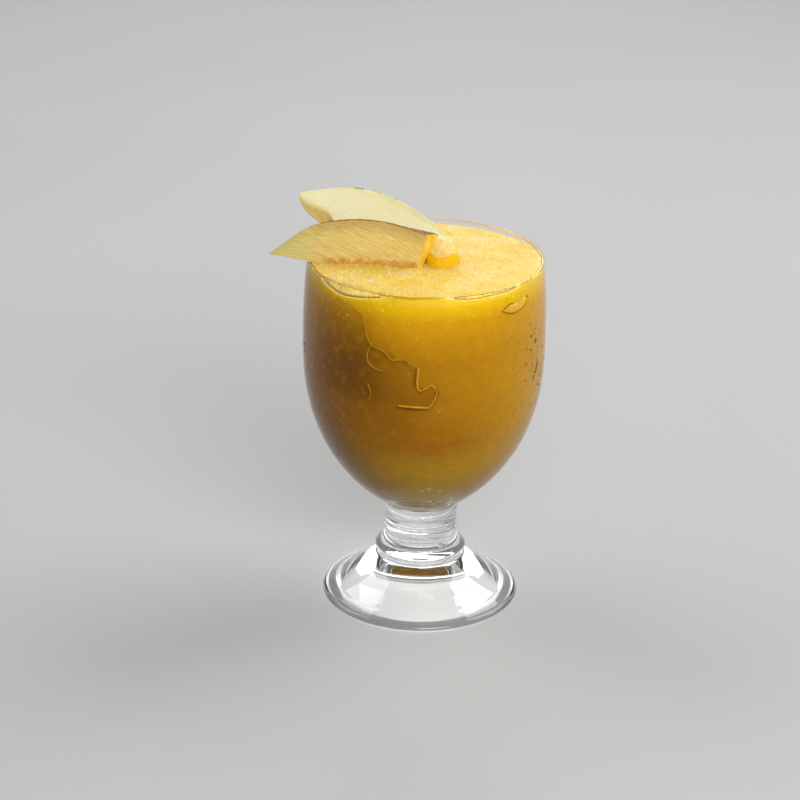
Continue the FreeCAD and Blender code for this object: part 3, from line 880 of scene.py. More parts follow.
def grains(name, centres, sizes, material, squash=0.75):
    """Small angular grains as one mesh."""
    n, k = len(centres), len(UNIT)
    shape = UNIT[None] * (0.72 + 0.5 * rng.random((n, k, 1)))
    shape = shape * np.stack([0.7 + 0.6 * rng.random(n), 0.7 + 0.6 * rng.random(n), squash * (0.7 + 0.5 * rng.random(n))], -1)[:, None, :]
    q = rng.normal(size=(n, 4))
    q /= np.linalg.norm(q, axis=1)[:, None]
    w, x, y, z = q.T
    rot = np.stack([1 - 2 * (y * y + z * z), 2 * (x * y - z * w), 2 * (x * z + y * w),
                    2 * (x * y + z * w), 1 - 2 * (x * x + z * z), 2 * (y * z - x * w),
                    2 * (x * z - y * w), 2 * (y * z + x * w), 1 - 2 * (x * x + y * y)], -1).reshape(n, 3, 3)
    v = np.einsum("nij,nkj->nki", rot, shape) * sizes[:, None, None] + centres[:, None, :]
    return many(name, v, material, False)


def scatter_top(count):
    r = 41.0 * np.sqrt(rng.random(count))
    a = rng.random(count) * 2 * np.pi
    p = np.stack([r * np.cos(a), r * np.sin(a), np.zeros(count)], -1)
    q, f, w = top_point(p)
    return q, f, w, r


q, f, w, r = scatter_top(6500)
coarse = np.exp(-(((q[:, 0] + 26) / 17) ** 2 + ((q[:, 1] + 27) / 13) ** 2))
size = 0.13 + (0.16 + 0.16 * coarse) * rng.random(len(q)) ** 1.8
keep = (noise3(q * np.array([1, 1, 0]), 5.0, 71) + 0.5 * coarse > 0.1 - 0.6 * rng.random(len(q))) & (r < 40.4) & (w < 0.3 + 0.4 * rng.random(len(q)))
q, size = q[keep], size[keep]
q[:, 2] -= size * 0.25
ice = grains("ice_grains", q, size, MAT_ICE)


# ---- mango slices ---------------------------------------------------------------------------------
def fruit_flesh(name, light, dark, tip, edge, strand, gap, wet, fibre, rough=0.32, sss=0.25):
    """Cut fruit: tone runs along the fibres, with attributes for the rim under the skin and the wet foot."""
    t = Tree(name)
    along = t.new("ShaderNodeAttribute", attribute_name="fibre_pos", attribute_type="GEOMETRY")
    fibres = []
    for scale, detail in ((1.0, 2.0), (1.7, 1.0)):
        g = t.new("ShaderNodeTexNoise")
        g.inputs["Scale"].default_value = scale
        g.inputs["Detail"].default_value = detail
        t.link(along.outputs["Vector"], g.inputs["Vector"])
        fibres.append(g.outputs["Fac"])
    g, g2 = fibres
    cloud = t.noise(70.0, 2.0, 0.5)
    base = t.mix(t.span(cloud, 0.35, 0.65), light, dark)
    base = t.mix(t.math("MULTIPLY", t.span(g, 0.50, 0.70), fibre, clamp=True), base, strand)
    base = t.mix(t.math("MULTIPLY", t.span(g2, 0.56, 0.72), fibre * 0.8, clamp=True), base, strand)
    base = t.mix(t.math("MULTIPLY", t.span(g, 0.47, 0.30), fibre, clamp=True), base, gap)
    base = t.mix(t.math("MULTIPLY", t.span(g2, 0.42, 0.28), fibre * 0.7, clamp=True), base, gap)
    base = t.mix(t.attr("tip"), base, tip)
    base = t.mix(t.attr("rim"), base, edge)
    base = t.mix(t.attr("wet"), base, t.mix(t.span(t.noise(500.0, 1.0), 0.44, 0.64), wet, (wet[0] * 0.84, wet[1] * 0.68, wet[2] * 0.4, 1.0)))
    base = t.mix(t.attr("end"), base, t.ramp(t.span(t.noise(380.0, 3.0, 0.6), 0.3, 0.7), [(0.0, srgb(232, 182, 26)), (0.5, srgb(252, 212, 56)), (1.0, srgb(255, 234, 128))]))
    base = t.mix(t.attr("skin"), base, t.ramp(t.noise(130.0, 3.0), [(0.36, srgb(96, 50, 4)), (0.5, srgb(126, 82, 8)), (0.64, srgb(122, 104, 16))]))
    p = t.principled(Base_Color=base, IOR=1.38)
    t.link(t.math("ADD", t.math("MULTIPLY", t.attr("skin"), 0.25), rough), p.inputs["Roughness"])
    p.inputs["Subsurface Weight"].default_value = sss
    p.inputs["Subsurface Radius"].default_value = (1.0, 0.7, 0.3)
    p.inputs["Subsurface Scale"].default_value = 0.0016
    b = t.bump(g, 0.22, 0.0003)
    b = t.bump(g2, 0.20, 0.0002, b)
    b = t.bump(t.voronoi(1100.0), 0.10, 0.0002, b)
    t.link(b, p.inputs["Normal"])
    return t.done(p.outputs[0])


MAT_FRONT = fruit_flesh("mango_front", srgb(243, 214, 126), srgb(237, 204, 108), srgb(212, 204, 132), srgb(128, 88, 26), srgb(253, 238, 172), srgb(206, 168, 86),
                        srgb(224, 160, 54), 0.60)
MAT_BACK = fruit_flesh("mango_back", srgb(255, 245, 198), srgb(254, 240, 188), srgb(253, 208, 92), srgb(216, 218, 136), srgb(255, 248, 212), srgb(240, 222, 160),
                       srgb(230, 190, 90), 0.26, rough=0.28)


def placed(p, at, yaw, dip, lean):
    """Lean about X, dip about Y, yaw about Z, then moved."""
    m = (Matrix.Rotation(math.radians(yaw), 3, "Z") @ Matrix.Rotation(math.radians(dip), 3, "Y") @ Matrix.Rotation(math.radians(-lean), 3, "X"))
    return p @ np.array(m).T + np.array(at)


def loft(sections):
    """A closed skin over rings with the same number of points; its ends are closed by rings shrunk to their middles."""
    n = len(sections[0])

    def closing(ring, steps):
        c = ring.mean(0)
        return [c + (ring - c) * (1 - (k + 1) / (steps + 1)) for k in range(steps)], c
    start, cs = closing(sections[0], 3)
    end, ce = closing(sections[-1], 18)
    rings = start[::-1] + list(sections) + end
    v = np.concatenate(rings + [np.array([cs, ce])])
    faces = []
    for k in range(len(rings) - 1):
        a, b = k * n, (k + 1) * n
        for i in range(n):
            j = (i + 1) % n
            faces.append((a + i, a + j, b + j, b + i))
    s, e = len(v) - 2, len(v) - 1
    for i in range(n):
        j = (i + 1) % n
        faces.append((s, j, i))
        faces.append((e, (len(rings) - 1) * n + i, (len(rings) - 1) * n + j))
    capped = np.zeros(len(v))
    capped[(len(start) + len(sections)) * n:] = 1
    capped[s] = 0
    return v, outward(v, faces), capped


def rounded_poly(corners, radii, per_side, per_corner):
    """A closed polygon with rounded corners. Tags say which corner or side each point is on."""
    k = len(corners)
    pts, tags = [], []
    for i in range(k):
        p, c, q = corners[i - 1], corners[i], corners[(i + 1) % k]
        d0, d1 = p - c, q - c
        l0, l1 = np.linalg.norm(d0), np.linalg.norm(d1)
        r = min(radii[i], 0.45 * min(l0, l1))
        a, b = c + d0 / max(l0, 1e-9) * r, c + d1 / max(l1, 1e-9) * r
        for j in range(per_corner + 1):
            s = j / per_corner
            pts.append((1 - s) ** 2 * a + 2 * s * (1 - s) * c + s * s * b)
            tags.append(10 + i)
        nr = min(radii[(i + 1) % k], 0.45 * min(l1, np.linalg.norm(corners[(i + 2) % k] - q)))
        e = q - d1 / max(l1, 1e-9) * nr
        for j in range(1, per_side[i]):
            s = j / per_side[i]
            pts.append(b + (e - b) * s)
            tags.append(i)
    return np.array(pts), tags


def normals_of(v, faces):
    n = np.zeros_like(v)
    f = np.array([x for x in faces if len(x) == 4])
    g = np.cross(v[f[:, 2]] - v[f[:, 0]], v[f[:, 3]] - v[f[:, 1]])
    for k in range(4):
        np.add.at(n, f[:, k], g)
    return n / np.maximum(np.linalg.norm(n, axis=1), 1e-12)[:, None]


def catmull(points, n):
    p = np.array([2 * np.array(points[0]) - points[1]] + [list(q) for q in points] + [2 * np.array(points[-1]) - points[-2]], float)
    out = []
    for i in range(1, len(p) - 2):
        for k in range(n):
            t = k / n
            out.append(0.5 * ((2 * p[i]) + (-p[i - 1] + p[i + 1]) * t + (2 * p[i - 1] - 5 * p[i] + 4 * p[i + 1] - p[i + 2]) * t ** 2
                              + (-p[i - 1] + 3 * p[i] - 3 * p[i + 1] + p[i + 2]) * t ** 3))
    out.append(p[-2])
    return np.array(out)


FRONT_TOP = ((-16.0, -0.45), (-13.8, 1.75), (-11.2, 4.45), (-8.9, 6.9), (-6.6, 9.1), (-4.2, 11.1), (-1.5, 12.95), (1.6, 14.6), (5.6, 16.2), (11.8, 17.9), (18.0, 19.0),
             (24.0, 19.5), (30.0, 19.3), (36.0, 18.65), (42.0, 17.75), (50.0, 16.4))
FRONT_LOW = ((-16.0, -0.50), (-12.8, -0.30), (-7.3, -0.62), (-1.1, -0.65), (5.0, -0.55), (50.0, -0.3))


def make_front():
    wedge = math.radians(28.0)
    top, low = catmull(FRONT_TOP, 24), catmull(FRONT_LOW, 24)
    upper = lambda x: float(np.interp(x, top[:, 0], top[:, 1]))
    lower = lambda x: float(np.interp(x, low[:, 0], low[:, 1]))
    x0, x1, m = -15.9, 40.0, 232
    secs = []
    for k in range(m + 1):
        s = k / m
        base_x = x0 + (x1 - x0) * s
        cut = float(smooth(0.22, 1.0, s))
        zf = upper(base_x)
        for _ in range(8):
            zf = upper(base_x + cut * 0.115 * zf)
        yb, zb = 0.0, zf
        for _ in range(12):
            xb = base_x + cut * (0.115 * zb + 0.30 * yb)
            h = max(upper(xb) - lower(xb), 0.08)
            yb = h * math.sin(wedge)
            zb = lower(xb) + h * math.cos(wedge) + 2.1 * float(smooth(32, 45, xb))
        zl = lower(base_x)
        h = max(zf - zl, 0.1)
        bulge = 0.03 * h
        skin = []
        for j in range(4):
            q = j / 3
            skin.append(np.array([yb * (1 - q), zb + (zf - zb) * q + bulge * math.sin(math.pi * q)]))
        corners = np.array([[0.0, zl]] + [list(c) for c in skin])
        pts, tags = rounded_poly(corners, [min(0.7, h * 0.1), min(0.8, h * 0.12), 3.0, 3.0, min(0.45, h * 0.1)], [44, 5, 5, 5, 84], 4)
        xs = base_x + cut * (0.115 * pts[:, 1] + 0.30 * pts[:, 0])
        secs.append(np.stack([xs, pts[:, 0], pts[:, 1]], -1))
    v, faces, capped = loft(secs)
    n, total = len(secs[0]), len(v)
    nrm = normals_of(v, faces)
    side = np.full(total, 4)
    side[:total - 2] = np.tile(tags, (total - 2) // n)
    x, y, z = v.T
    zt = np.interp(x, top[:, 0], top[:, 1])
    zl = np.interp(x, low[:, 0], low[:, 1])
    frac = np.clip((z - zl) / np.maximum(zt - zl, 0.3), 0, 1)
    depth = zt - z
    face = np.isin(side, (4, 10, 14)) & (capped < 0.5)
    skin = (np.isin(side, (1, 2, 3, 11, 12, 13)) & (capped < 0.5)).astype(float)
    end = np.maximum(capped, smooth(-0.5, -0.05, x - (40.0 + 0.115 * z + 0.30 * y)))
    # fibres follow the slice and bend down towards the cut end
    bend = z + 0.0042 * np.maximum(x + 4, -12) ** 2
    fib = np.stack([x * 0.22, y * 1.6, bend * 1.9 + 0.5 * noise3(v, 9.0, 80)], -1)
    strands = noise3(fib, 1.0, 81) + 0.6 * noise3(fib * np.array([1.5, 1, 2.3]), 1.0, 82)
    push = 0.11 * strands * (1 - end) + 0.09 * noise3(v, 2.2, 83)
    push = push - 0.4 * face * np.sin(np.pi * frac) * smooth(-8, 4, x)
    fray = smooth(4.5, 1.0, z - zl - 2.0) * smooth(4, 12, x) * (1 - end)
    push = push + fray * (0.30 * noise3(v, 1.1, 84) + 0.22 * noise3(v, 2.6, 85))
    v2 = v + nrm * push[:, None]
    ragged = noise3(v, 1.7, 86)
    rim = np.maximum(smooth(6.5, 0.4, depth + 0.9 * ragged) * 0.34, smooth(0.62, 0.2, depth + 0.25 * ragged) * 0.9) * (0.35 + 0.65 * smooth(-6, 6, x)) * (1 - end)
    tip = smooth(11.0, -9.0, x + 2.5 * noise3(v, 5, 87) + 0.35 * z) * 0.58
    # where the ice's juice soaked the foot of the cut face
    line_z = np.interp(x, (-10, 4.6, 12, 22, 32, 41), (0.2, 0.8, 1.4, 3.2, 4.6, 5.4))
    wet = smooth(2.6, 0.5, z - line_z + 1.3 * noise3(v, 2.2, 88) + 0.5 * noise3(v, 0.9, 89)) * smooth(1, 8, x) * 0.85
    wet = np.maximum(wet, 0.10 * smooth(9.0, 2.0, z - line_z) * smooth(1, 10, x))
    p = placed(v2, (-42.7, -8.5, 138.3), -13.0, 5.6, 12.0)
    o = build("mango_front", p, faces, [MAT_FRONT], replaces=["mango_slice_front"],
              attrs={"rim": rim * (1 - skin), "tip": tip, "wet": wet * (1 - skin) * (1 - end), "end": end * (1 - skin), "skin": skin * 0.95})
    a = o.data.attributes.new("fibre_pos", "FLOAT_VECTOR", "POINT")
    a.data.foreach_set("vector", (np.stack([x * 0.13, y * 1.0, bend * 2.1], -1)).astype(np.float32).ravel())
    return o


BACK_TOP = ((-29.6, 9.6), (-29.2, 10.55), (-28.2, 11.1), (-26.4, 11.45), (-23.4, 12.05), (-20.1, 12.7), (-13.6, 13.45), (-8.5, 13.5), (-1.7, 12.75), (3.6, 11.3), (8.2, 9.6),
            (13.9, 6.75), (19.7, 3.2), (24.1, 0.0), (27.9, -3.2), (31.0, -5.6))
BACK_LOW = ((-29.6, 9.3), (-29.1, 7.6), (-28.3, 5.9), (-26.7, 4.0), (-23.5, 1.55), (-19.9, -0.5), (-15.0, -3.9), (-8.0, -8.6), (8.0, -13.0), (22.0, -12.4), (31.0, -9.6))
BACK_BEVEL = ((-29.6, 9.5), (-28.6, 8.3), (-26.1, 6.75), (-22.6, 5.5), (-19.0, 4.0), (-17.0, 2.2), (-14.0, -2.6), (-8.0, -8.2), (8.0, -12.7), (22.0, -12.1), (31.0, -9.3))


def make_back():
    THICK, BACK = 9.0, (38.0, 18.5)
    top, low, bevel = catmull(BACK_TOP, 24), catmull(BACK_LOW, 24), catmull(BACK_BEVEL, 24)
    at = lambda c, x: float(np.interp(x, c[:, 0], c[:, 1]))
    m = 240
    x0, x1 = -29.45, 28.9
    secs = []
    for k in range(m + 1):
        s = k / m
        x = x0 + (x1 - x0) * (s ** 1.25)
        zt, zl = at(top, x), at(low, x)
        zb = min(max(at(bevel, x), zl + 0.05), zt - 0.05)
        h = max(zt - zl, 0.1)
        if zt - zl < 0.1:
            zt = zl + 0.1

        def thick(z):
            return THICK * math.sqrt(max(1 - (x / BACK[0]) ** 2 - (z / BACK[1]) ** 2, 0.0004))
        back_y = 0.95 * (zb - zl)
        corners = [np.array([back_y, zl])]
        for j in range(5):
            z = zl + h * (0.12 + 0.78 * j / 4)
            corners.append(np.array([max(min(thick(z), 0.3 + h * 0.75), back_y * (1 - j / 4) + 0.1), z]))
        corners.append(np.array([0.0, zt]))
        corners.append(np.array([0.0, zb]))
        pts, tags = rounded_poly(np.array(corners), [min(0.5, h * 0.1), 1.6, 3, 3, 3, 1.4, min(0.4, h * 0.08), min(0.5, h * 0.08)], [16, 6, 6, 6, 6, 14, 72, 14], 4)
        secs.append(np.stack([np.full(len(pts), x), pts[:, 0], pts[:, 1]], -1))
    v, faces, capped = loft(secs)
    n, total = len(secs[0]), len(v)
    nrm = normals_of(v, faces)
    side = np.full(total, 6)
    side[:total - 2] = np.tile(tags, (total - 2) // n)
    x, y, z = v.T
    zt = np.interp(x, top[:, 0], top[:, 1])
    zl = np.interp(x, low[:, 0], low[:, 1])
    zb = np.interp(x, bevel[:, 0], bevel[:, 1])
    frac = np.clip((z - zb) / np.maximum(zt - zb, 0.5), 0, 1)
    fib = np.stack([x * 0.14, y * 1.2, (z + 0.0065 * (x + 12) ** 2) * 1.4], -1)
    push = 0.035 * noise3(fib, 1.0, 91) + 0.14 * noise3(v, 7.0, 92) + 0.05 * noise3(v, 1.4, 93)
    push = push + 0.25 * (side == 6) * np.sin(np.pi * frac)
    # the peel's edge is chipped in places
    chip = smooth(0.9, 0.1, zt - z) * smooth(0.1, 0.5, noise3(v, 1.5, 96)) * smooth(-16, 0, x)
    v2 = v + nrm * push[:, None]
    v2[:, 2] -= 0.35 * chip
    is_skin = np.isin(side, (2, 3, 4, 5, 12, 13, 14, 15)).astype(float)
    to_top = zt - z
    rim = smooth(3.4, 0.2, to_top + 0.8 * noise3(v, 3.0, 94)) * (0.25 + 0.38 * smooth(-4, 8, x))
    spots = smooth(0.35, 0.6, noise3(v, 1.1, 97)) * smooth(2.2, 0.4, to_top) * 0.7
    rim = np.maximum(rim, spots)
    bev = np.isin(side, (7, 10)).astype(float) + 0.5 * (side == 17)
    under = smooth(1.6, 0.0, z - zb + 0.6 * noise3(v, 2.0, 95)) * smooth(-8, -16, x) * 0.45
    tip = np.clip(np.maximum(bev * (0.72 + 0.3 * noise3(v, 2.5, 98)) * smooth(-6, -14, x), under), 0, 1)
    green = np.exp(-(((x + 29.0) / 1.6) ** 2 + ((z - 6.2) / 1.7) ** 2)) * bev
    p = placed(v2, (-18.6, -0.3, 150.0), -6.0, 0.0, 31.0)
    o = build("mango_back", p, faces, [MAT_BACK], replaces=["mango_slice_back"],
              attrs={"rim": np.clip(np.maximum(rim * (1 - bev), green * 0.9), 0, 1) * (1 - is_skin), "tip": tip * (1 - is_skin) * (1 - 0.8 * green),
                     "wet": np.zeros(total), "end": np.zeros(total), "skin": is_skin * 0.9})
    a = o.data.attributes.new("fibre_pos", "FLOAT_VECTOR", "POINT")
    a.data.foreach_set("vector", (np.stack([x * 0.16, y * 1.2, (z + 0.0065 * (x + 12) ** 2) * 1.8], -1)).astype(np.float32).ravel())
    return o


mango_front = make_front()
mango_back = make_back()


def skin_flakes():
    """Scraps of green peel left on the upper edge of the back slice."""
    top = catmull(BACK_TOP, 24)
    t = Tree("peel")
    c = t.ramp(t.noise(900.0, 2.0), [(0.4, srgb(134, 160, 66)), (0.6, srgb(206, 212, 140))])
    p = t.principled(Base_Color=c, Roughness=0.5)
    mat = t.done(p.outputs[0])
    places = [(-9.0, 1.5, 0.34), (-7.6, 2.2, 0.50), (-6.2, 1.5, 0.36), (-1.4, 1.5, 0.36), (0.0, 0.9, 0.28), (6.4, 0.9, 0.22)]
    out = []
    for x, length, high in places:
        z = float(np.interp(x, top[:, 0], top[:, 1]))
        shape = UNIT * (0.75 + 0.45 * rng.random((len(UNIT), 1))) * np.array([length / 2, 0.5, high])
        out.append(shape + np.array([x, 0.35 + 0.3 * rng.random(), z + high * 0.35]))
    v = placed(np.concatenate(out), (-18.6, -0.3, 150.0), -6.0, 0.0, 31.0).reshape(len(places), len(UNIT), 3)
    return many("peel_scraps", v, mat, True)


flakes = skin_flakes()


# ---- water on the glass ---------------------------------------------------------------------------
def on_glass(az, z, lift):
    """Points on the outside of the bowl, lifted off it."""
    a = np.radians(np.asarray(az) - 90)
    r = outside(z) + lift
    return np.stack([r * np.cos(a), r * np.sin(a), np.asarray(z, float)], -1)


def film(name, outlines, material, step=0.16):
    """Runs of water and flat wet patches with a rounded edge. Each outline is a line or a loop of (azimuth, height)."""
    verts, faces = [], []
    for outline, is_loop, ridge, wide, body in outlines:
        o = np.array(outline, float)
        az0 = o[:, 0].mean()
        r0 = float(outside(o[:, 1].mean()))
        pts = np.stack([np.radians(o[:, 0] - az0) * r0, o[:, 1]], -1)
        curve = catmull(list(pts) + ([pts[0]] if is_loop else []), 8)
        x0, z0 = curve.min(0) - wide - 0.4
        x1, z1 = curve.max(0) + wide + 0.4
        nx, nz = int((x1 - x0) / step) + 2, int((z1 - z0) / step) + 2
        gx, gz = np.meshgrid(x0 + np.arange(nx) * step, z0 + np.arange(nz) * step, indexing="ij")
        g = np.stack([gx.ravel(), gz.ravel()], -1)
        d = np.full(len(g), 99.0)
        within = np.zeros(len(g), bool)
        for p, q in zip(curve[:-1], curve[1:]):
            e = q - p
            t = np.clip(((g - p) @ e) / max(e @ e, 1e-9), 0, 1)
            d = np.minimum(d, np.linalg.norm(g - (p + t[:, None] * e), axis=1))
            if is_loop:
                hit = ((p[1] > g[:, 1]) != (q[1] > g[:, 1])) & (g[:, 0] < (q[0] - p[0]) * (g[:, 1] - p[1]) / (q[1] - p[1] + 1e-12) + p[0])
                within ^= hit
        wob = 1 + 0.3 * noise3(np.stack([g[:, 0], g[:, 1], np.full(len(g), az0)], -1), 2.2, 101)
        if is_loop:
            s = np.where(within, d, -d)
            dome = np.sqrt(np.clip(1 - (np.clip(wide - s, 0, wide) / wide) ** 2, 0, 1))
            h = (body + ridge * np.exp(-((s - wide * 0.7) / (wide * 0.5)) ** 2)) * dome * wob - 0.05 * (s <= 0)
            keep = s > -0.2
        else:
            s = wide / 2 * wob - d
            h = ridge * wob * np.sqrt(np.clip(1 - (d / (wide / 2 * wob)) ** 2, 0, 1)) - 0.05 * (s <= 0)
            keep = s > -0.2
        h, keep = h.reshape(nx, nz), keep.reshape(nx, nz)
        cell = keep[:-1, :-1] & keep[1:, :-1] & keep[:-1, 1:] & keep[1:, 1:]
        used = np.zeros((nx, nz), bool)
        used[:-1, :-1] |= cell
        used[1:, :-1] |= cell
        used[:-1, 1:] |= cell
        used[1:, 1:] |= cell
        ids = -np.ones((nx, nz), int)
        ids[used] = np.arange(used.sum())
        az = az0 + np.degrees(gx[used] / r0)
        base, k = len(verts), int(used.sum())
        verts.extend(on_glass(az, gz[used], h[used]).tolist())
        verts.extend(on_glass(az, gz[used], -0.10).tolist())
        for i, j in zip(*np.nonzero(cell)):
            q = (ids[i, j], ids[i + 1, j], ids[i + 1, j + 1], ids[i, j + 1])
            faces.append(tuple(base + w for w in q))
            faces.append(tuple(base + k + w for w in reversed(q)))
            for (di, dj), (p, r) in (((-1, 0), (3, 0)), ((1, 0), (1, 2)), ((0, -1), (0, 1)), ((0, 1), (2, 3))):
                a_, b_ = i + di, j + dj
                if a_ < 0 or b_ < 0 or a_ >= cell.shape[0] or b_ >= cell.shape[1] or not cell[a_, b_]:
                    u, w = q[p], q[r]
                    faces.append((base + w, base + u, base + k + u, base + k + w))
    return build(name, verts, outward(verts, faces), [material])


runs = film("wet_runs", [
    ([(-2.2, 111.7), (-2.6, 107.8), (-2.7, 104.6), (-1.4, 102.7), (1.8, 103.9), (3.8, 105.0), (6.3, 101.8), (4.8, 98.6), (2.8, 96.1), (-1.3, 96.1), (-10.9, 96.3)],
     False, 0.20, 0.42, 0.0),
], MAT_RUN_AND_HIGHLIGHT)
traces = film("wet_traces", [
    ([(-52.0, 129.6), (-47.8, 130.9), (-44.0, 132.8), (-40.6, 131.6), (-37.6, 132.2), (-33.6, 130.5), (-29.9, 129.2), (-28.8, 127.0), (-27.4, 122.6), (-25.8, 119.5),
      (-22.4, 117.7), (-18.0, 116.7), (-14.7, 113.9), (-10.5, 114.3), (-7.5, 114.1), (-5.9, 112.2)], False, 0.065, 0.20, 0.0),
    ([(-24.5, 119.0), (-26.6, 115.0), (-25.8, 111.5), (-22.0, 109.6), (-18.5, 109.2)], False, 0.05, 0.14, 0.0),
    ([(-26.0, 103.0), (-24.6, 100.0), (-25.6, 97.0)], False, 0.045, 0.13, 0.0),
], MAT_TRACE, step=0.11)
crescent = film("wet_patch", [
    ([(39.1, 130.0), (43.7, 131.5), (47.9, 131.4), (52.0, 132.0), (55.7, 132.3), (57.5, 131.3), (54.7, 129.7), (49.7, 128.6), (45.3, 128.3), (41.9, 129.1)], True, 0.22, 0.75, 0.24),
], MAT_WATER)
# dark lines along the crescent's and the run's edges: painted shade, standing in for the dark refraction at a drop's
# rim
dark_edge_lines = film("painted_dark_edges", [
    ([(38.6, 129.9), (41.9, 128.9), (45.3, 128.1), (49.7, 128.4), (54.7, 129.5), (57.3, 130.9), (57.2, 131.9), (55.9, 132.4)], False, 0.09, 0.26, 0.0),
    ([(39.5, 130.7), (42.0, 131.3), (43.7, 131.9), (46.0, 131.5)], False, 0.07, 0.20, 0.0),
    ([(3.2, 105.3), (4.6, 104.4), (6.9, 101.9), (5.4, 98.4)], False, 0.10, 0.26, 0.0),
    ([(-9.5, 95.75), (-4.0, 95.55), (1.5, 95.55)], False, 0.10, 0.24, 0.0),
    ([(-3.4, 111.0), (-3.5, 107.0), (-3.6, 104.8)], False, 0.10, 0.24, 0.0),
], MAT_PAINTED_DARK_EDGE)


def droplets(name, az, z, size, tall, material):
    """Low round drops on the outside of the bowl."""
    n_round = 14
    rings = [(0.0, 1.0), (0.35, 0.93), (0.66, 0.72), (0.88, 0.38), (1.0, 0.0)]
    verts, faces = [], []
    for a0, z0, s, h, e in zip(az, z, size, tall, rng.random(len(az))):
        base = len(verts)
        r0 = float(outside(z0))
        stretch = 1.0 + 0.6 * e * (s > 0.35)
        loc, lift = [(0.0, 0.0)], [h]
        for q, w in rings[1:]:
            for k in range(n_round):
                t = 2 * math.pi * k / n_round
                loc.append((q * s * math.cos(t) * (1 + 0.12 * math.sin(2 * t + e * 6)), q * s * stretch * math.sin(t)))
                lift.append(h * w if w > 0 else -0.02)
        loc.append((0.0, 0.0))
        lift.append(-0.08)
        loc, lift = np.array(loc), np.array(lift)
        verts.extend(on_glass(a0 + np.degrees(loc[:, 0] / r0), z0 + loc[:, 1], lift).tolist())
        for k in range(n_round):
            j = (k + 1) % n_round
            faces.append((base, base + 1 + k, base + 1 + j))
            for q in range(len(rings) - 2):
                u, w = base + 1 + q * n_round, base + 1 + (q + 1) * n_round
                faces.append((u + k, w + k, w + j, u + j))
            u = base + 1 + (len(rings) - 2) * n_round
            faces.append((u + k, base + len(loc) - 1, u + j))
    return build(name, verts, outward(verts, faces), [material])


def drop_field():
    az, z, size = [], [], []
    # thick on the right of the front, thin elsewhere
    for count, a0, a1, z0, z1, smin, smax in ((110, 50, 82, 84, 122, 0.13, 0.36), (70, 20, 60, 72, 118, 0.10, 0.22), (60, -80, -48, 78, 112, 0.10, 0.30),
                                              (70, -45, 30, 104, 131, 0.09, 0.22), (280, 84, 280, 70, 126, 0.10, 0.40)):
        az += list(a0 + (a1 - a0) * rng.random(count))
        z += list(z0 + (z1 - z0) * rng.random(count))
        size += list(smin + (smax - smin) * rng.random(count) ** 2.2)
    for a, b, s in ((-76.5, 106.0, 0.8), (-75.0, 104.0, 0.7), (-70.6, 98.3, 0.5), (-56.0, 66.0, 0.5), (-44.8, 82.2, 0.55)):
        az.append(a)
        z.append(b)
        size.append(s)
    size = np.array(size)
    clear = droplets("droplets", np.array(az), np.array(z), size, size * 0.5, MAT_WATER)
    # drops coloured near-black on the right: painted dark reflection, standing in for drops that show dark surroundings
    az, z, size = [], [], []
    for a, b, s in ((59.5, 115.9, 0.42), (64.1, 113.2, 0.55), (63.6, 112.3, 0.4), (59.2, 110.7, 0.36), (55.6, 106.0, 0.38), (67.0, 103.4, 0.5), (66.4, 102.4, 0.55), (65.8, 101.2, 0.48),
                    (65.0, 100.1, 0.45), (63.6, 98.9, 0.42), (62.9, 97.8, 0.38), (55.1, 99.7, 0.3), (70.8, 93.5, 0.5), (72.0, 96.8, 0.45), (73.5, 108.0, 0.4)):
        az.append(a)
        z.append(b)
        size.append(s)
    n = 74
    az += list(62 + 8.5 * rng.normal(size=n).clip(-1.9, 1.9))
    z += list(86 + 34 * rng.random(n))
    size += list(0.13 + 0.17 * rng.random(n) ** 1.6)
    az += list(5 + 60 * rng.random(16))
    z += list(80 + 50 * rng.random(16))
    size += list(0.10 + 0.08 * rng.random(16))
    size = np.array(size)
    dark = droplets("drops_painted_dark", np.array(az), np.array(z), size, size * 0.4, MAT_DROP_PAINTED_DARK)
    return clear, dark


drops, dark_drops = drop_field()


def wall_bubbles():
    """Flat bubbles of air held against the glass, most of them in a band near the bottom of the bowl; their pale colour
    is a painted glint, standing in for the light that trapped air reflects.
    """
    low, high = 240, 130
    z = np.concatenate([40.6 + 8.5 * rng.random(low) ** 1.5, 50 + 84 * rng.random(high), [45.9, 47.3, 49.9, 47.8, 56.3, 48.1, 45.0, 49.2]])
    az = np.concatenate([rng.random(low + high) * 360, [-27.7, -15.7, 8.1, 11.5, 13.3, 30.7, 20.0, 17.0]])
    long = np.concatenate([0.22 + 0.75 * rng.random(low) ** 2.4, 0.10 + 0.14 * rng.random(high), [0.9, 0.6, 1.1, 1.3, 0.7, 1.2, 0.8, 1.0]])
    high_ = long * np.where(long > 0.3, 0.30 + 0.35 * rng.random(len(long)), 0.9)
    a = np.radians(az - 90)
    r = inside(z) + 0.06
    slope = (inside(z + 0.05) - inside(z - 0.05)) / 0.1
    up = np.stack([slope * np.cos(a), slope * np.sin(a), np.ones(len(a))], -1)
    up /= np.linalg.norm(up, axis=1)[:, None]
    side = np.stack([-np.sin(a), np.cos(a), np.zeros(len(a))], -1)
    out = np.cross(side, up)
    shape = UNIT[None] * (0.85 + 0.3 * rng.random((len(a), len(UNIT), 1)))
    v = (shape[:, :, :1] * (side * long[:, None])[:, None, :] + shape[:, :, 1:2] * (up * high_[:, None])[:, None, :]
         + shape[:, :, 2:3] * (out * 0.16)[:, None, :] + np.stack([r * np.cos(a), r * np.sin(a), z], -1)[:, None, :])
    return many("air_bubbles_painted_glint", v, MAT_BUBBLE_GLINT, True)


bubbles = wall_bubbles()

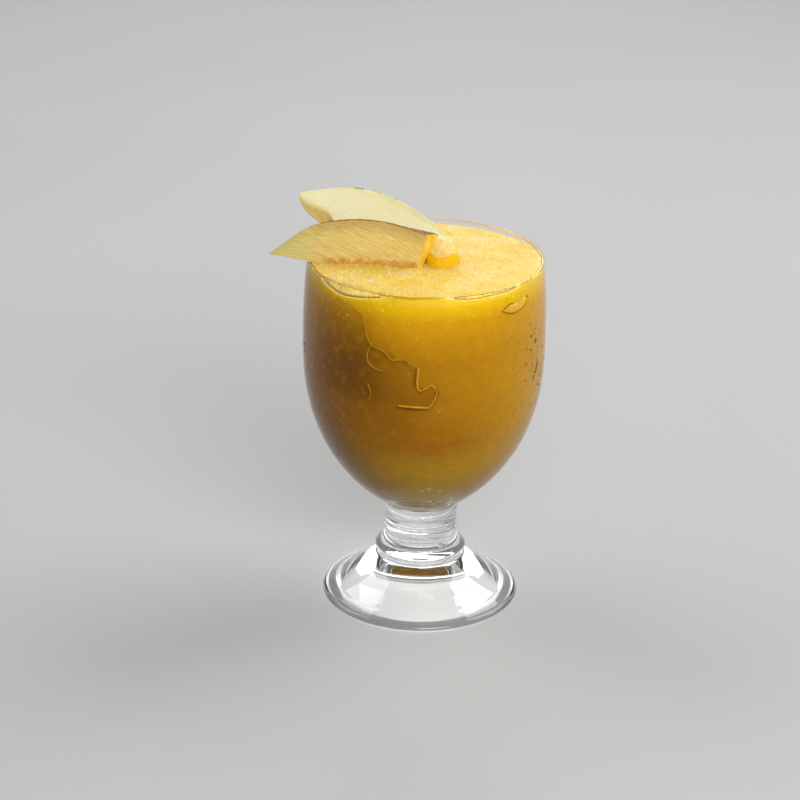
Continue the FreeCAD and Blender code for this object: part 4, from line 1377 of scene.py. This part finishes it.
# ---- floor, light and camera ----------------------------------------------------------------------
floor_mesh = bpy.data.meshes.new("floor")
floor_mesh.from_pydata([(-6, -6, 0), (6, -6, 0), (6, 8, 0), (-6, 8, 0)], [], [(0, 1, 2, 3)])
floor = bpy.data.objects.new("floor", floor_mesh)
bpy.context.scene.collection.objects.link(floor)
tf = Tree("floor")
pf = tf.principled(Base_Color=tf.mix(tf.span(tf.noise(3.0, 2.0), 0.3, 0.7), (0.47, 0.47, 0.47, 1), (0.50, 0.50, 0.495, 1)), Roughness=0.6)
floor_mesh.materials.append(tf.done(pf.outputs[0]))


def area(name, place, target, size, power, colour=(1, 1, 1), size_y=None):
    data = bpy.data.lights.new(name, "AREA")
    data.energy = power
    data.color = colour
    data.size = size
    if size_y:
        data.shape = "RECTANGLE"
        data.size_y = size_y
    o = bpy.data.objects.new(name, data)
    bpy.context.scene.collection.objects.link(o)
    o.location = place
    o.rotation_mode = "QUATERNION"
    o.rotation_quaternion = (Vector(target) - Vector(place)).to_track_quat("-Z", "Y")
    return o


mid = (AXIS_X * MM, AXIS_Y * MM, 0.10)
area("left", (AXIS_X * MM - 0.735, 0.424, 0.95), mid, 0.80, 5.0, (1.0, 1.0, 1.0), 0.62)
area("right", (AXIS_X * MM + 0.735, 0.424, 0.95), mid, 0.80, 8.0, (1.0, 0.995, 0.98), 0.62)
area("back", (AXIS_X * MM, 1.25, 0.62), mid, 1.00, 4.0, (1.0, 1.0, 1.0), 0.34)
area("front", (AXIS_X * MM + 0.32, -1.11, 0.80), mid, 0.95, 12.4, (1.0, 1.0, 1.0), 0.34)

world = bpy.data.worlds.new("studio")
bpy.context.scene.world = world
world.use_nodes = True
bg = world.node_tree.nodes["Background"]
bg.inputs[0].default_value = (0.80, 0.82, 0.85, 1)
bg.inputs[1].default_value = 0.20

PITCH, YAW, ROLL = math.radians(23.0298), math.radians(-0.5491), math.radians(0.8832)
fwd = Vector((math.sin(YAW) * math.cos(PITCH), math.cos(YAW) * math.cos(PITCH), -math.sin(PITCH)))
right = Vector((math.cos(YAW), -math.sin(YAW), 0))
up = right.cross(fwd)
right2 = right * math.cos(ROLL) + up * math.sin(ROLL)
up2 = up * math.cos(ROLL) - right * math.sin(ROLL)
cam_data = bpy.data.cameras.new("camera")
cam = bpy.data.objects.new("camera", cam_data)
bpy.context.scene.collection.objects.link(cam)
cam_data.sensor_width = 36.0
cam_data.lens = 2595.444 / 800 * 36.0
cam_data.clip_start, cam_data.clip_end = 0.05, 30.0
back = -fwd
cam.matrix_world = Matrix((
    (right2.x, up2.x, back.x, AXIS_X * MM),
    (right2.y, up2.y, back.y, AXIS_Y * MM - 0.91067),
    (right2.z, up2.z, back.z, 0.46671),
    (0, 0, 0, 1)))
bpy.context.scene.camera = cam
bpy.context.scene.view_settings.view_transform = "Standard"
